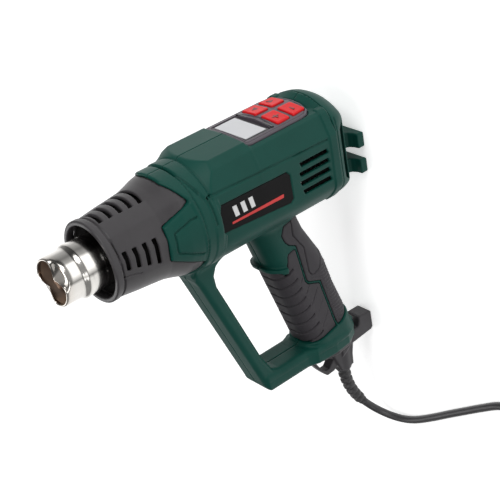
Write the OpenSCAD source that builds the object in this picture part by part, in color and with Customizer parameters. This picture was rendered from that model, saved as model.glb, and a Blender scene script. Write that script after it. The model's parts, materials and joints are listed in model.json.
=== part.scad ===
// Hot air gun with a display, stood on its tail with the nozzle pointing up.
// +Z runs along the barrel to the nozzle, +X to the display side, -X to the grip.

/* [Barrel] */
// Height of the nozzle's tip above the tail stand
tip_z = 254.5; // [252:0.5:258]
// Outside radius of the nozzle's front sleeve
nozzle_r = 17.3; // [16.8:0.1:17.8]
// Outside radius of the nozzle's rear sleeve
nozzle_rear_r = 18.8; // [18.4:0.1:19.2]
// Length of the nozzle's front sleeve
nozzle_front_l = 11.5; // [10:0.5:12]
// Outside radius of the shroud's lip
lip_r = 29.2; // [28.6:0.1:30]
// Outside radius of the round part of the body
barrel_r = 38.5; // [38:0.5:39]
// Half width of the body across its flat sides
body_half_w = 34; // [34:0.5:35]
// Thickness of the plastic shells
wall = 2.6; // [2.4:0.1:2.8]

/* [Grip] */
// Lean of the grip away from square to the barrel, in degrees
grip_rake = 16.5; // [15.5:0.5:17.5]
// Depth of the grip from front to back
grip_depth = 45; // [44:0.5:46]
// Width of the grip
grip_width = 33; // [32:0.5:34]
// Width of the hand guard
guard_width = 28; // [26:0.5:29]
// Distance from the barrel's axis to the underside of the base
base_x = 162; // [161:0.5:163]
// Distance from the barrel's axis to the end of the cord boss
boss_x = 192; // [191:0.5:193]

/* [Controls] */
// Travel of the four push buttons
button_travel = 0.8; // [0.6:0.1:1]
// Travel of the power slider
slider_travel = 8; // [6:0.5:8]

/* [Cord] */
// Diameter of the supply cord
cord_d = 6; // [6:0.1:6.2]
// Distance across the coil at the middle of its turns
coil_mid_d = 66; // [62:1:68]

/* [Hidden] */

e = 0.01;
gap = 0.15;
fine = 96;
cap_r = 44;
cap_top = 43.5;
axis_x = (boss_x - cap_top) / 2;

// Heights along the barrel
step_z = tip_z - nozzle_front_l;
lip_z = 224;
ring_top_z = 168.5;
ring_mid_z = 156.3;
hump_foot_z = 144.5;
hump_z = 133.5;
bezel_top_z = 101.5;
bezel_low_z = 36;
cap_z = 32.5;
cap_floor_z = 16.5;
deck_x = 36.5;
hump_x = 40.6;

// Grip axis: it passes through this point and leans by grip_rake
grip_ref = [-84, 63.5];
skin = 2.5;

// Fan and motor
fan_z = 99;
motor_z = 50;
motor_l = 38;
motor_r = 13.8;
shaft_r = 1.15;

// Power slider's place along the grip axis, measured from grip_ref
slider_s = 15;

module place() {
    translate([axis_x, 0, 0]) children();
}

// Extrudes an outline drawn in X and Z, w wide and centred on Y = 0
module side_slab(w) {
    rotate([90, 0, 0]) linear_extrude(w, center = true) children();
}

// Extrudes an outline drawn in Y and Z from x0 to x1
module across(x0, x1) {
    translate([x0, 0, 0]) rotate([90, 0, 90]) linear_extrude(x1 - x0) children();
}

module ring(r_out, r_in, z0, z1) {
    translate([0, 0, z0]) difference() {
        cylinder(r = r_out, h = z1 - z0, $fn = fine);
        translate([0, 0, -1]) cylinder(r = r_in, h = z1 - z0 + 2, $fn = fine);
    }
}

// Stands a shape up along the grip: local Z runs up the grip, local X to its back
module along_grip(s = 0) {
    translate([grip_ref[0], 0, grip_ref[1]]) rotate([0, 90 - grip_rake, 0])
        translate([0, 0, s]) children();
}

// ---- Body sections, drawn in X and Y ----

module deck_outline(x_top) {
    polygon([[0, -body_half_w], [20, -body_half_w], [x_top - 2.5, -27], [x_top, -23],
        [x_top, 23], [x_top - 2.5, 27], [20, body_half_w], [0, body_half_w]]);
}

module body_section(x_top = deck_x) {
    intersection() {
        circle(r = barrel_r, $fn = fine);
        translate([-50, -body_half_w]) square([50 + 22, 2 * body_half_w]);
    }
    deck_outline(x_top);
}

module cap_section() {
    body_section();
    intersection() {
        circle(r = cap_top, $fn = fine);
        translate([0, -33]) square([50, 66]);
    }
}

module column(z0, z1, inset = 0) {
    translate([0, 0, z0]) linear_extrude(z1 - z0) offset(delta = -inset) children();
}

// ---- Grip, guard and base outlines ----

module grip_outline(inset = 0) {
    offset(r = 11 - inset, $fn = 32)
        square([grip_depth - 22, grip_width - 22], center = true);
}

// Plan of the base, drawn in Y and Z
module base_plan(inset = 0) {
    offset(delta = -inset) hull() {
        translate([0, 40]) circle(r = 19, $fn = 64);
        translate([0, 34]) circle(r = 16.5, $fn = 64);
        translate([-19, 66]) square([38, 6]);
        translate([-guard_width / 2, 108]) square([guard_width, 4]);
    }
}

// Plan of the collar where the grip meets the base
module collar_plan() {
    hull() {
        translate([0, 40]) circle(r = 17.8, $fn = 64);
        translate([0, 58]) circle(r = 17, $fn = 64);
    }
}

// Side view of the hand guard, drawn in X and Z
module guard_outline() {
    difference() {
        offset(r = 3, $fn = 24) offset(delta = -3) polygon([[-30, 158], [-52, 153],
            [-base_x + 3, 113.5], [-base_x, 109], [-base_x, 62], [-148, 62], [-30, 80]]);
        finger_window();
    }
}

// The opening that the fingers go through, drawn in X and Z
module finger_window() {
    offset(r = 4, $fn = 24) offset(delta = -4) polygon([[-36.5, 127], [-45, 137.5],
        [-56, 139.5], [-144, 108.5], [-148, 104], [-148, 75], [-132, 75], [-36, 105]]);
}

// Side outline of the green chevron that reaches over the shroud, in X and Z
module chevron_outline(grow = 0) {
    offset(delta = grow) polygon([[24, 168], [21, 161], [14.5, 182.5], [-8.5, 183.8],
        [-21, 157], [-21, 150], [24, 150]]);
}

// ---- Housing ----

module housing_outside() {
    column(cap_z, hump_foot_z) body_section();
    column(bezel_top_z, hump_z) body_section(hump_x);
    hull() {
        column(hump_z - 0.2, hump_z, 0.1) body_section(hump_x);
        column(hump_foot_z - 0.1, hump_foot_z + 0.2) circle(r = barrel_r - 0.1, $fn = 48);
    }
    cylinder_between(barrel_r + 0.3, hump_foot_z - e, ring_mid_z - 0.8);
    cylinder_between(barrel_r - 0.7, ring_mid_z - 0.9, ring_mid_z);
    cylinder_between(barrel_r, ring_mid_z - e, ring_top_z);
    side_slab(guard_width) guard_outline();
    across(-base_x, -148) base_plan();
    across(-148.1, -140) collar_plan();
    along_grip(-72) linear_extrude(116) grip_outline();
}

module cylinder_between(r, z0, z1, sides = fine) {
    translate([0, 0, z0]) cylinder(r = r, h = z1 - z0, $fn = sides);
}

module chevrons(grow = 0) {
    intersection() {
        side_slab(80) chevron_outline(grow);
        difference() {
            cylinder_between(36.2 + grow, 150, 190);
            cylinder_between(33.7 - grow, 140, 200);
        }
    }
}

module housing_inside() {
    column(cap_z - 1, hump_foot_z - wall, wall) body_section();
    cylinder_between(barrel_r - wall + 0.2, hump_foot_z - wall - 1, ring_top_z + 20);
    along_grip(-64) linear_extrude(118) grip_outline(skin + wall);
    across(-base_x - 1, -138) pocket_plan();
    across(-158.2, -154.8) pocket_plan(2.2);
}

// Plan of the opening in the base that the bracket's collar fills
module pocket_plan(grow = 0) {
    offset(delta = grow) hull() {
        translate([0, 33]) circle(r = 11, $fn = 48);
        translate([0, 46]) circle(r = 11, $fn = 48);
    }
}

// Slots in the side of the body where the fan draws its air in
module intake_slots() {
    for (i = [0:3])
        translate([8.6 - 7 * i, 0, 53.5 + (i == 3 ? -2 : 0)])
            cube([3.2, 100, i == 3 ? 20 : 23], center = true);
}

// Across the joint, each at [X, Z, half the length of its boss]
SCREWS = [[30, 137, 25], [24, 42, 31], [-29, 42, 24], [-44, 147, 12], [-95.5, 73.5, 12],
    [-137.5, 61, 12], [-154, 104, 12]];

module boss_places() {
    for (p = SCREWS) translate([p[0], 0, p[1]]) rotate([90, 0, 0]) children();
}

// Blocks in the base that the cord clamp is screwed down to
module clamp_seats() {
    difference() {
        across(-152, -144) translate([-12, 20]) square([24, 9.5]);
        across(-153, -143) translate([0, 30]) circle(r = cord_d / 2 + 0.05, $fn = 32);
    }
}

module clamp_holes() {
    for (y = [-7, 7]) translate([-148, y, 23.5]) cylinder(r = 1.55, h = 12, $fn = 32);
}

module screw_bosses() {
    for (p = SCREWS) translate([p[0], 0, p[1]]) rotate([90, 0, 0])
        cylinder(r = 3.4, h = 2 * p[2], center = true, $fn = 32);
}

module screw_holes() {
    boss_places() {
        translate([0, 0, -14]) cylinder(r = 1.55, h = 22, $fn = 24);
        translate([0, 0, -60]) cylinder(r = 3.2, h = 50, $fn = 24);
    }
}

// Ribs that hold the fan duct inside the shells
module duct_ribs() {
    for (z = [87, 113]) difference() {
        column(z, z + 2, wall - 0.1) body_section();
        cylinder_between(29.65, z - 1, z + 3);
        translate([23, -40, z - 1]) cube([30, 80, 4]);
    }
}

// What both shells share, before they are parted at Y = 0
module housing_body() {
    difference() {
        union() {
            difference() {
                union() {
                    housing_outside();
                    chevrons();
                }
                housing_inside();
            }
            duct_ribs();
            screw_bosses();
            clamp_seats();
        }
        screw_holes();
        clamp_holes();
        grip_skins(gap);
        intake_slots();
        translate([deck_x - 6, -21.5, bezel_low_z + 4]) cube([12, 43, 60]);
        translate([deck_x - 1.2, -23.6, bezel_low_z - 0.2]) cube([8, 47.2, 66]);
        slider_way();
        label_recess();
        mirror([0, 1, 0]) label_recess();
    }
    chevrons();
}

module label_outline(inset = 0) {
    offset(r = 3 - inset, $fn = 24) offset(delta = -3)
        polygon([[11.5, 140.5], [-6.5, 142], [-12.5, 78], [11.5, 78]]);
}

module label_recess() {
    translate([0, -body_half_w + 0.6, 0]) rotate([90, 0, 0]) linear_extrude(10) label_outline();
}

module slider_way() {
    slider_place() translate([-grip_depth / 2 - 5, -5, -slider_travel - 4.5])
        cube([15, 10, slider_travel + 15]);
}

module left_housing() {
    color([0.13, 0.27, 0.25]) place() intersection() {
        housing_body();
        translate([-200, -80, -10]) cube([300, 80 - 0.02, 260]);
    }
}

module right_housing() {
    color([0.13, 0.27, 0.25]) place() intersection() {
        housing_body();
        translate([-200, 0.02, -10]) cube([300, 80, 260]);
    }
}

// ---- Nose ----

module nose_shroud() {
    color([0.27, 0.27, 0.28]) place() difference() {
        rotate_extrude($fn = fine) polygon([[25.6, lip_z - 1.2], [26.8, lip_z], [28.2, lip_z],
            [lip_r, lip_z - 1.4], [lip_r, 219], [28.3, 218], [32, 184], [33.4, 175],
            [36.6, ring_top_z + gap], [33.4, ring_top_z + gap], [33.4, 160], [31, 160],
            [31, 172], [29.4, 184], [25.6, 216]]);
        chevrons(gap);
        for (i = [0:3], side = [-1, 1])
            translate([3 + 0.5 * i, side * 30, 213 - 7.2 * i])
                cube([13 + 1.4 * i, 16, 2], center = true);
        for (i = [0:4]) translate([0, 0, 214 - 7.4 * i]) louvre_cut();
    }
}

// One curved groove across the top of the shroud
module louvre_cut() {
    intersection() {
        difference() {
            cylinder(r = 40, h = 2, $fn = fine);
            translate([0, 0, -1]) cylinder(r = 29.6, h = 4, $fn = fine);
        }
        translate([22, -14, -1]) cube([20, 28, 4]);
    }
}

module heater_tube() {
    color([0.8, 0.79, 0.77]) place() {
        ring(nozzle_r, nozzle_r - 0.8, step_z - 0.4, tip_z - 0.6);
        ring(nozzle_r - 0.3, nozzle_r - 1.7, tip_z - 0.7, tip_z);
        ring(nozzle_rear_r, nozzle_r - 0.8, step_z - 1.2, step_z - 0.4 + e);
        ring(nozzle_rear_r, nozzle_rear_r - 0.8, 129.5, step_z - 1.2 + e);
        difference() {
            ring(28.2, nozzle_rear_r - 0.8, 129, 130);
            flange_holes(25, 30) cylinder(r = 1.7, h = 20, $fn = 24);
        }
    }
}

module mica_sleeve() {
    color([0.72, 0.62, 0.5]) place() ring(16.1, 15.7, 132, tip_z - 3);
}

// Ceramic former: a hub with four ribs, lobed at the mouth
module heater_core() {
    color([0.9, 0.83, 0.76]) place() difference() {
        union() {
            cylinder_between(4.6, 134, tip_z - 2);
            for (a = [45:90:315]) rotate([0, 0, a])
                translate([0, -1.1, 134]) cube([15.2, 2.2, tip_z - 2 - 134]);
            for (a = [45:90:315]) rotate([0, 0, a]) translate([10.4, 0, tip_z - 8])
                cylinder(r = 3.6, h = 6, $fn = 32);
        }
        cylinder_between(1.3, 130, tip_z);
        for (z = [144:9:234]) ring(13.5, 9.5, z - 1, z + 1);
    }
}

module heating_coils() {
    color([0.55, 0.45, 0.4]) place() {
        for (z = [144:9:234]) translate([0, 0, z]) rotate_extrude($fn = 64)
            translate([11.5, 0]) circle(r = 0.7, $fn = 16);
        for (a = [0, 180]) rotate([0, 0, a]) translate([11.5, 0, 126])
            cylinder(r = 0.7, h = 108.4, $fn = 16);
    }
}

module temperature_probe() {
    color([0.75, 0.72, 0.65]) place() cylinder_between(1.1, 126, tip_z - 4);
}

module heater_flange() {
    color([0.85, 0.82, 0.75]) place() difference() {
        cylinder_between(30, 122, 129 - gap);
        cylinder_between(14, 120, 130);
        flange_holes(25, 30) cylinder(r = 1.6, h = 20, $fn = 24);
    }
}

// Three places round the barrel, r out from its axis, above the fan duct's bosses
module flange_holes(r, first) {
    for (a = [first:120:first + 240]) rotate([0, 0, a]) translate([r, 0, 115]) children();
}

module heater_screws() {
    color([0.75, 0.75, 0.77]) place() flange_holes(25, 30) {
        translate([0, 0, 2]) cylinder(r = 1.5, h = 14, $fn = 32);
        translate([0, 0, 15.05]) cylinder(r = 2.8, h = 1.8, $fn = 32);
    }
}

module heat_shield() {
    color([0.3, 0.28, 0.27]) place() {
        ring(23.6, 23, 133, 215);
        for (z = [140, 205]) difference() {
            ring(23.1, nozzle_rear_r + 0.1, z, z + 1);
            for (a = [0:45:315]) rotate([0, 0, a]) translate([21, 0, z - 1])
                cylinder(r = 1.7, h = 3, $fn = 24);
        }
    }
}

// ---- Fan and motor ----

module fan_duct() {
    color([0.16, 0.16, 0.17]) place() difference() {
        union() {
            ring(29.5, 27, 86, 121.8);
            ring(18.2, 14.1, 86, 90);
            for (a = [0:60:300]) rotate([0, 0, a + 20]) translate([17.5, -1, 86.5])
                cube([10.5, 2, 5.5]);
            for (a = [0:60:300]) rotate([0, 0, a + 62]) translate([8, -0.8, 114.2])
                cube([20, 1.6, 7]);
            cylinder_between(9, 113, 121.5);
            flange_holes(25, 30) cylinder(r = 3.2, h = 6.8, $fn = 32);
        }
        flange_holes(25, 30) translate([0, 0, 1.5]) cylinder(r = 1.55, h = 8, $fn = 32);
    }
}

module motor_can() {
    color([0.68, 0.68, 0.7]) place() difference() {
        union() {
            cylinder_between(motor_r, motor_z, motor_z + motor_l);
            cylinder_between(5, motor_z + motor_l, motor_z + motor_l + 2.4);
        }
        cylinder_between(shaft_r + 0.05, motor_z - 1, motor_z + motor_l + 4);
        cylinder_between(motor_r - 1.4, motor_z - 1, motor_z + motor_l - 2);
        for (y = [-8, 8]) translate([0, y, motor_z + motor_l - 3])
            cylinder(r = 1.25, h = 5, $fn = 24);
    }
}

module motor_end_cap() {
    color([0.12, 0.12, 0.12]) place() difference() {
        union() {
            cylinder_between(motor_r - 0.1, motor_z - 4, motor_z - gap);
            cylinder_between(4.4, motor_z - 6.5, motor_z - 3.9);
        }
        cylinder_between(shaft_r + 0.05, motor_z - 8, motor_z + 1);
    }
}

module motor_screws() {
    color([0.7, 0.7, 0.72]) place() for (y = [-8, 8]) translate([0, y, 0]) {
        cylinder_between(1.2, motor_z + motor_l - 1.9, motor_z + motor_l + 0.1, 32);
        cylinder_between(2.2, motor_z + motor_l + 0.1, motor_z + motor_l + 1.7, 32);
    }
}

module motor_shaft() {
    color([0.8, 0.8, 0.82]) place() {
        cylinder_between(shaft_r, motor_z - 6, fan_z + 9, 32);
        cylinder_between(8, motor_z + 6, motor_z + 30, 32);
    }
}

module fan_impeller() {
    color([0.2, 0.2, 0.2]) place() difference() {
        union() {
            cylinder_between(6.5, fan_z - 4, fan_z + 8, 32);
            cylinder_between(24, fan_z - 4, fan_z - 2.4, 32);
            for (a = [0:360 / 11:350]) rotate([0, 0, a]) translate([5.5, -0.7, fan_z - 3])
                cube([18.3, 1.4, 10.5]);
        }
        cylinder_between(shaft_r, fan_z - 6, fan_z + 10, 32);
    }
}

// ---- Rear cover with its tail stand ----

module rear_cover() {
    color([0.13, 0.27, 0.25]) place() {
        difference() {
            union() {
                column(22, cap_z - gap) cap_section();
                column(18.5, 22 + e, 2.4) cap_section();
                column(cap_floor_z, 18.6, 5) cap_section();
                column(cap_z - 1, cap_z + 5, wall + 0.2) body_section();
            }
            column(19, cap_z + 6, wall + 3) body_section();
        }
        for (x = [[-6, 5], [-26, -15.5]]) across(x[0], x[1]) tail_plan();
        translate([-16, -7, 4]) cube([11, 14, 13]);
    }
}

// Plan of one stand lug, drawn in Y and Z
module tail_plan() {
    polygon([[-16, 18], [-16, 10], [-19, 7], [-25, 5.5], [-25, 0],
        [25, 0], [25, 5.5], [19, 7], [16, 10], [16, 18]]);
}

// ---- Display ----

module bezel_blank() {
    across(deck_x - 1, deck_x + 3.6) hull() {
        translate([-23, bezel_low_z + 5]) square([46, bezel_top_z - bezel_low_z - 5]);
        translate([0, bezel_low_z + 20]) intersection() {
            circle(r = 20, $fn = 64);
            translate([-20, -20]) square([40, 20]);
        }
    }
    translate([deck_x - 4.5, -21.3, bezel_low_z + 4.2]) cube([5, 42.6, 59.6]);
}

module display_bezel() {
    color([0.33, 0.32, 0.35]) place() difference() {
        bezel_blank();
        translate([deck_x - 6, -18.5, 40.5]) cube([7.6, 37, 57.5]);
        translate([deck_x, -17.5, 75.8]) cube([8, 35, 21.4]);
        for (row = [0, 1], col = [0, 1]) button_hole(row, col);
    }
}

module button_outline() {
    offset(r = 1.5, $fn = 24) offset(delta = -1.5) square([15.4, 11.6], center = true);
}

function button_y(col) = col == 0 ? -10.6 : 10.6;
function button_z(row) = row == 0 ? 65 : 49.6;

module button_hole(row, col) {
    across(deck_x - 2, deck_x + 6) translate([button_y(col), button_z(row)])
        offset(delta = 0.35) button_outline();
}

module push_button(row, col) {
    color([0.83, 0.22, 0.2]) place() {
        across(deck_x + 1.2 + gap, deck_x + 4.6) translate([button_y(col), button_z(row)])
            button_outline();
        across(deck_x - 1.6, deck_x + 1.4) translate([button_y(col), button_z(row)])
            circle(r = 2, $fn = 32);
    }
}

module button_air_up() { push_button(0, 1); }
module button_air_down() { push_button(1, 1); }
module button_heat_up() { push_button(0, 0); }
module button_heat_down() { push_button(1, 0); }

module lcd_window() {
    color([0.78, 0.78, 0.8]) place() across(deck_x + 1.7, deck_x + 3.4)
        translate([-17.3, 76]) square([34.6, 21]);
}

module lcd_module() {
    color([0.3, 0.35, 0.3]) place() across(deck_x - 4.6, deck_x + 1.5)
        translate([-17, 75.5]) square([34, 22]);
}

module display_board() {
    color([0.1, 0.35, 0.2]) place() difference() {
        across(deck_x - 6.2, deck_x - 4.6) translate([-20, 41]) square([40, 58]);
        for (y = [-17.5, 17.5], z = [43.5, 96.5]) across(deck_x - 8, deck_x - 3)
            translate([y, z]) circle(r = 1.5, $fn = 24);
    }
}

module tact_switches() {
    color([0.15, 0.15, 0.15]) place() for (row = [0, 1], col = [0, 1]) {
        across(deck_x - 4.6, deck_x - 3.2) translate([button_y(col), button_z(row)])
            square([6, 6], center = true);
        across(deck_x - 3.3, deck_x - 1.6 - button_travel - 0.05)
            translate([button_y(col), button_z(row)]) circle(r = 1.7, $fn = 32);
    }
}

// ---- Grip ----

// The stretch that the rubber covers, between the body and the base
module grip_skin_blank(grow) {
    along_grip(-64) linear_extrude(92) difference() {
        offset(delta = 10 * grow) grip_outline();
        offset(delta = -skin - grow) grip_outline();
    }
}

// Side view of the front rubber, along and across the grip
module front_rubber_outline() {
    polygon([[-30, -64], [12, -64], [12, -32], [0, -27], [0, 6], [-7, 6], [-7, -8], [-30, -8]]);
}

// Side view of the back rubber
module back_rubber_outline() {
    polygon([[30, -64], [13.5, -64], [13.5, -31], [1.5, -26], [1.5, 9], [-6, 9], [-6, 26],
        [8, 28], [30, 28]]);
}

module grip_side(w) {
    along_grip() rotate([90, 0, 0]) linear_extrude(w, center = true) children();
}

module grip_skins(grow = 0) {
    grip_front_solid(grow);
    grip_back_solid(grow);
}

module grip_front_solid(grow = 0) {
    intersection() {
        grip_skin_blank(grow);
        grip_side(60) offset(delta = grow) front_rubber_outline();
    }
}

module grip_back_solid(grow = 0) {
    intersection() {
        grip_skin_blank(grow);
        grip_side(60) offset(delta = grow) back_rubber_outline();
    }
}

module grip_front_rubber() {
    color([0.2, 0.19, 0.2]) place() difference() {
        grip_front_solid();
        screw_holes();
    }
}

module grip_back_rubber() {
    color([0.22, 0.21, 0.22]) place() difference() {
        grip_back_solid();
        column(20, 160) body_section();
        slider_way();
    }
}

module label_plate() {
    translate([0, -body_half_w + 0.6 - gap, 0]) rotate([90, 0, 0])
        linear_extrude(0.8) label_outline(0.2);
}

module label_plate_left() { color([0.09, 0.09, 0.09]) place() label_plate(); }
module label_plate_right() { color([0.09, 0.09, 0.09]) place() mirror([0, 1, 0]) label_plate(); }

// ---- Power slider, in the back of the grip where the thumb rests ----

module slider_place() {
    along_grip(slider_s) mirror([1, 0, 0]) children();
}

module power_slider() {
    color([0.15, 0.15, 0.16]) place() slider_place() {
        translate([-grip_depth / 2 - 3.2, -4.6, -3]) cube([6, 9.2, 12]);
        translate([-grip_depth / 2 + 2.7, -3, 0]) cube([3, 6, 5]);
    }
}

module switch_body() {
    color([0.1, 0.1, 0.1]) place() slider_place() difference() {
        translate([-grip_depth / 2 + 5.2, -6.3, -14]) cube([11, 12.6, 26]);
        translate([-grip_depth / 2 + 4, -3.3, -slider_travel - 1]) cube([3.2, 6.6, 20]);
    }
}

// ---- Base bracket, cord clamp and leads ----

module base_bracket() {
    color([0.3, 0.29, 0.31]) place() difference() {
        union() {
            across(-base_x - 4, -base_x - gap) offset(delta = -2.2) base_bracket_plan();
            difference() {
                union() {
                    across(-base_x - 1, -157) pocket_plan(-gap);
                    across(-158, -155) pocket_plan(2);
                }
                across(-base_x, -150) pocket_plan(-3);
            }
            across(-boss_x, -base_x - 3.9) translate([0, 30]) circle(r = 6.8, $fn = 64);
            side_slab(12) boss_web();
            side_slab(14) hook_outline();
            side_slab(10) loop_outline();
        }
        across(-boss_x - 1, -base_x + 1) translate([0, 30]) circle(r = 5, $fn = 64);
        side_slab(30) offset(r = 1.2, $fn = 24) offset(delta = -1.2)
            polygon([[-170, 57.5], [-179.5, 53], [-179.5, 44], [-170, 42]]);
    }
}

module base_bracket_plan() {
    hull() {
        translate([0, 40]) circle(r = 18, $fn = 48);
        translate([0, 58]) circle(r = 12, $fn = 48);
    }
}

module boss_web() {
    polygon([[-165, 46], [-165, 16], [-176, 21.5], [-188, 23], [-188, 40]]);
}

// The hook whose tip is the third foot of the tail stand, drawn in X and Z
module hook_outline() {
    difference() {
        offset(r = 1.5, $fn = 24) offset(delta = -1.5) polygon([[-164, 40], [-164, 22], [-162.2, 17], [-160.5, 15.5],
            [-160.5, 13.4], [-153.5, 13.4], [-153.5, 1.5], [-158, 0], [-168.5, 0], [-170.5, 2],
            [-172, 24], [-180, 40]]);
        translate([-156.5, 17.5]) circle(r = 4.2, $fn = 48);
    }
}

// The hanging loop in front of the cord boss, drawn in X and Z
module loop_outline() {
    offset(r = 3, $fn = 24) offset(delta = -3)
        polygon([[-163, 64], [-172, 61.5], [-186, 52], [-188, 44], [-185, 30], [-163, 30]]);
}

module cord_tail() {
    color([0.12, 0.12, 0.12]) place() across(-178, -141)
        translate([0, 30]) circle(r = cord_d / 2, $fn = 32);
}

module cord_clamp() {
    color([0.2, 0.2, 0.2]) place() difference() {
        across(-152, -144) translate([-9.5, 30.5]) square([19, 5.5]);
        across(-153, -143) translate([0, 30]) circle(r = cord_d / 2, $fn = 32);
        for (y = [-7, 7]) translate([-148, y, 20]) cylinder(r = 1.6, h = 30, $fn = 24);
    }
}

module clamp_screws() {
    color([0.72, 0.72, 0.74]) place() for (y = [-7, 7]) translate([-148, y, 0]) {
        cylinder_between(1.5, 24, 36.5, 32);
        cylinder_between(2.8, 36.05, 38, 32);
    }
}

module terminal_block() {
    color([0.85, 0.85, 0.8]) place() difference() {
        across(-132, -118) translate([-8, 40]) square([16, 12]);
        for (y = [-4, 4]) across(-133, -117) translate([y, 46]) circle(r = 1.8, $fn = 24);
    }
}

module screw_set(head_y, tip_y) {
    translate([0, 0, head_y]) cylinder(r = 2.9, h = 2, $fn = 32);
    translate([0, 0, head_y + 1.9]) cylinder(r = 1.5, h = tip_y - head_y - 1.9, $fn = 32);
}

module housing_screws() {
    color([0.72, 0.72, 0.74]) place() boss_places() screw_set(-12.1, 7.5);
}

// Middle of one lead, from the cord through the terminal block to the power board
function lead(side) = [for (p = LEAD) [p[0] + axis_x, side * p[1], p[2]]];

module inner_leads() {
    color([0.2, 0.3, 0.6]) tube(lead(-1), 1.2, 1.2, 8);
    color([0.5, 0.3, 0.2]) tube(lead(1), 1.2, 1.2, 8);
}

// ---- Power electronics under the barrel ----

module power_board() {
    color([0.1, 0.35, 0.2]) place() difference() {
        translate([-26, -16, 46]) cube([1.6, 32, 36]);
        translate([-33, -5, 81]) cube([10, 10, 6]);
    }
}

module heat_sink() {
    color([0.75, 0.75, 0.77]) place() {
        translate([-24.3, -14, 50]) cube([2, 13, 28]);
        for (i = [0:3]) translate([-22.4, -14 + i * 3.8, 50]) cube([4.8, 1.2, 28]);
    }
}

module triac() {
    color([0.1, 0.1, 0.1]) place() translate([-24.3, 2.5, 62]) cube([4.4, 10, 14]);
}

module film_capacitor() {
    color([0.8, 0.7, 0.2]) place() translate([-24.3, 2.5, 48]) cube([7, 11, 11]);
}

module intake_filters() {
    color([0.25, 0.25, 0.25]) place() for (side = [-1, 1])
        translate([-1.5, side * (body_half_w - wall - 0.5), 53]) difference() {
            cube([30, 1, 27], center = true);
            for (x = [-12:4:12], z = [-10:4:10]) translate([x, 0, z])
                cube([2.4, 4, 2.4], center = true);
        }
}

// ---- Supply cord ----

// Points of the cord's middle from the strain relief to the coil, on the floor at Z = 0
RELIEF = [[-104, 0, 30], [-110, 0, 30], [-117.8, 0, 30], [-123.5, -0.5, 30], [-129, -1, 29.5], [-134.5, -1.8, 28.5],
    [-140, -2.5, 26.8], [-145.2, -3, 24.5], [-150, -3.4, 21.8], [-154.8, -3.8, 18.8]];
ROUTE = [[-155.4, -3.9, 18.4], [-159.5, -5, 15.5], [-163.8, -7.8, 12.4], [-167.5, -13, 9.2],
    [-169.8, -20.5, 6.4], [-170, -30, 4.2], [-167, -41, 3.2], [-161, -53, 3.1],
    [-152, -68, 3.1], [-142.5, -83, 3.1], [-132, -100, 3.1], [-121, -118, 3.1],
    [-111.5, -135, 3.1], [-106.5, -152, 3.1], [-105, -170, 3.1], [-105.5, -182, 3.1]];
LEAD = [[-139.6, 1.5, 30.5], [-137, 3, 38], [-133.5, 4, 45], [-131, 4, 46], [-117, 4, 46],
    [-110, 4, 50.5], [-88, 4, 60], [-62, 4, 70], [-50, 4, 74], [-40, 4, 79], [-27.5, 4, 82]];
relief_root_r = 4.9;
relief_tip_r = 3.9;
coil_centre = [-67, -207];
coil_turns_wide = 3;
coil_turns_high = 3;

function unit(v) = v / norm(v);
function heading(p, i) = unit(p[min(i + 1, len(p) - 1)] - p[max(i - 1, 0)]);
function start_heading(p, i, first) = i == 0 && first ? [-1, 0, 0] : heading(p, i);
function ring_points(p, i, r, sides, first) =
    let (t = start_heading(p, i, first), u = unit(cross([0, 0, 1], t)), v = cross(t, u))
    [for (k = [0:sides - 1]) p[i] + r * (cos(360 * k / sides) * u + sin(360 * k / sides) * v)];

// One closed tube through the points p, whose radius runs from r0 to r1
module tube(p, r0, r1, sides, first = false) {
    n = len(p);
    points = [for (i = [0:n - 1])
        each ring_points(p, i, r0 + (r1 - r0) * i / (n - 1), sides, first)];
    walls = [for (i = [0:n - 2], k = [0:sides - 1])
        [i * sides + k, (i + 1) * sides + k,
            (i + 1) * sides + (k + 1) % sides, i * sides + (k + 1) % sides]];
    faces = concat([[for (k = [0:sides - 1]) k]], walls,
        [[for (k = [sides - 1:-1:0]) (n - 1) * sides + k]]);
    polyhedron(points, faces, convexity = 6);
}

module strain_relief() {
    color([0.2, 0.2, 0.21]) tube(RELIEF, relief_root_r, relief_tip_r, 12, true);
}

module supply_cord() {
    color([0.2, 0.2, 0.21]) tube(ROUTE, cord_d / 2, cord_d / 2, 12);
}

module cord_coil() {
    coil_w = coil_turns_wide * cord_d;
    color([0.2, 0.2, 0.21]) translate([coil_centre[0], coil_centre[1], 0.1])
        rotate_extrude($fn = fine) translate([coil_mid_d / 2 - coil_w / 2, 0])
            offset(r = 2.5, $fn = 24) offset(delta = -2.5)
                square([coil_w, coil_turns_high * cord_d]);
}

module cord_tie() {
    color([0.1, 0.1, 0.1]) translate([coil_centre[0], coil_centre[1], 0]) difference() {
        translate([0, -coil_mid_d / 2, 9.2]) cube([9, 22.4, 18.3], center = true);
        rotate_extrude($fn = fine) translate([coil_mid_d / 2 - 9.2, 0])
            square([18.4, 18.25]);
    }
}

module mains_plug() {
    color([0.14, 0.14, 0.15]) plug_place() {
        rotate([0, 90, 0]) cylinder(r = 18, h = 4, $fn = 64);
        translate([4, 0, 0]) rotate([0, 90, 0]) cylinder(r1 = 13, r2 = 8, h = 24, $fn = 64);
        translate([28, 0, 0]) rotate([0, 90, 0]) cylinder(r = 5, h = 8, $fn = 48);
    }
}

module plug_pins() {
    color([0.82, 0.82, 0.84]) plug_place() for (y = [-9.5, 9.5]) translate([-19, y, 0])
        rotate([0, 90, 0]) {
            cylinder(r = 2.4, h = 19, $fn = 32);
        }
}

module plug_place() {
    translate([-20, -262, 18.1]) rotate([0, 0, 25]) children();
}

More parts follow.
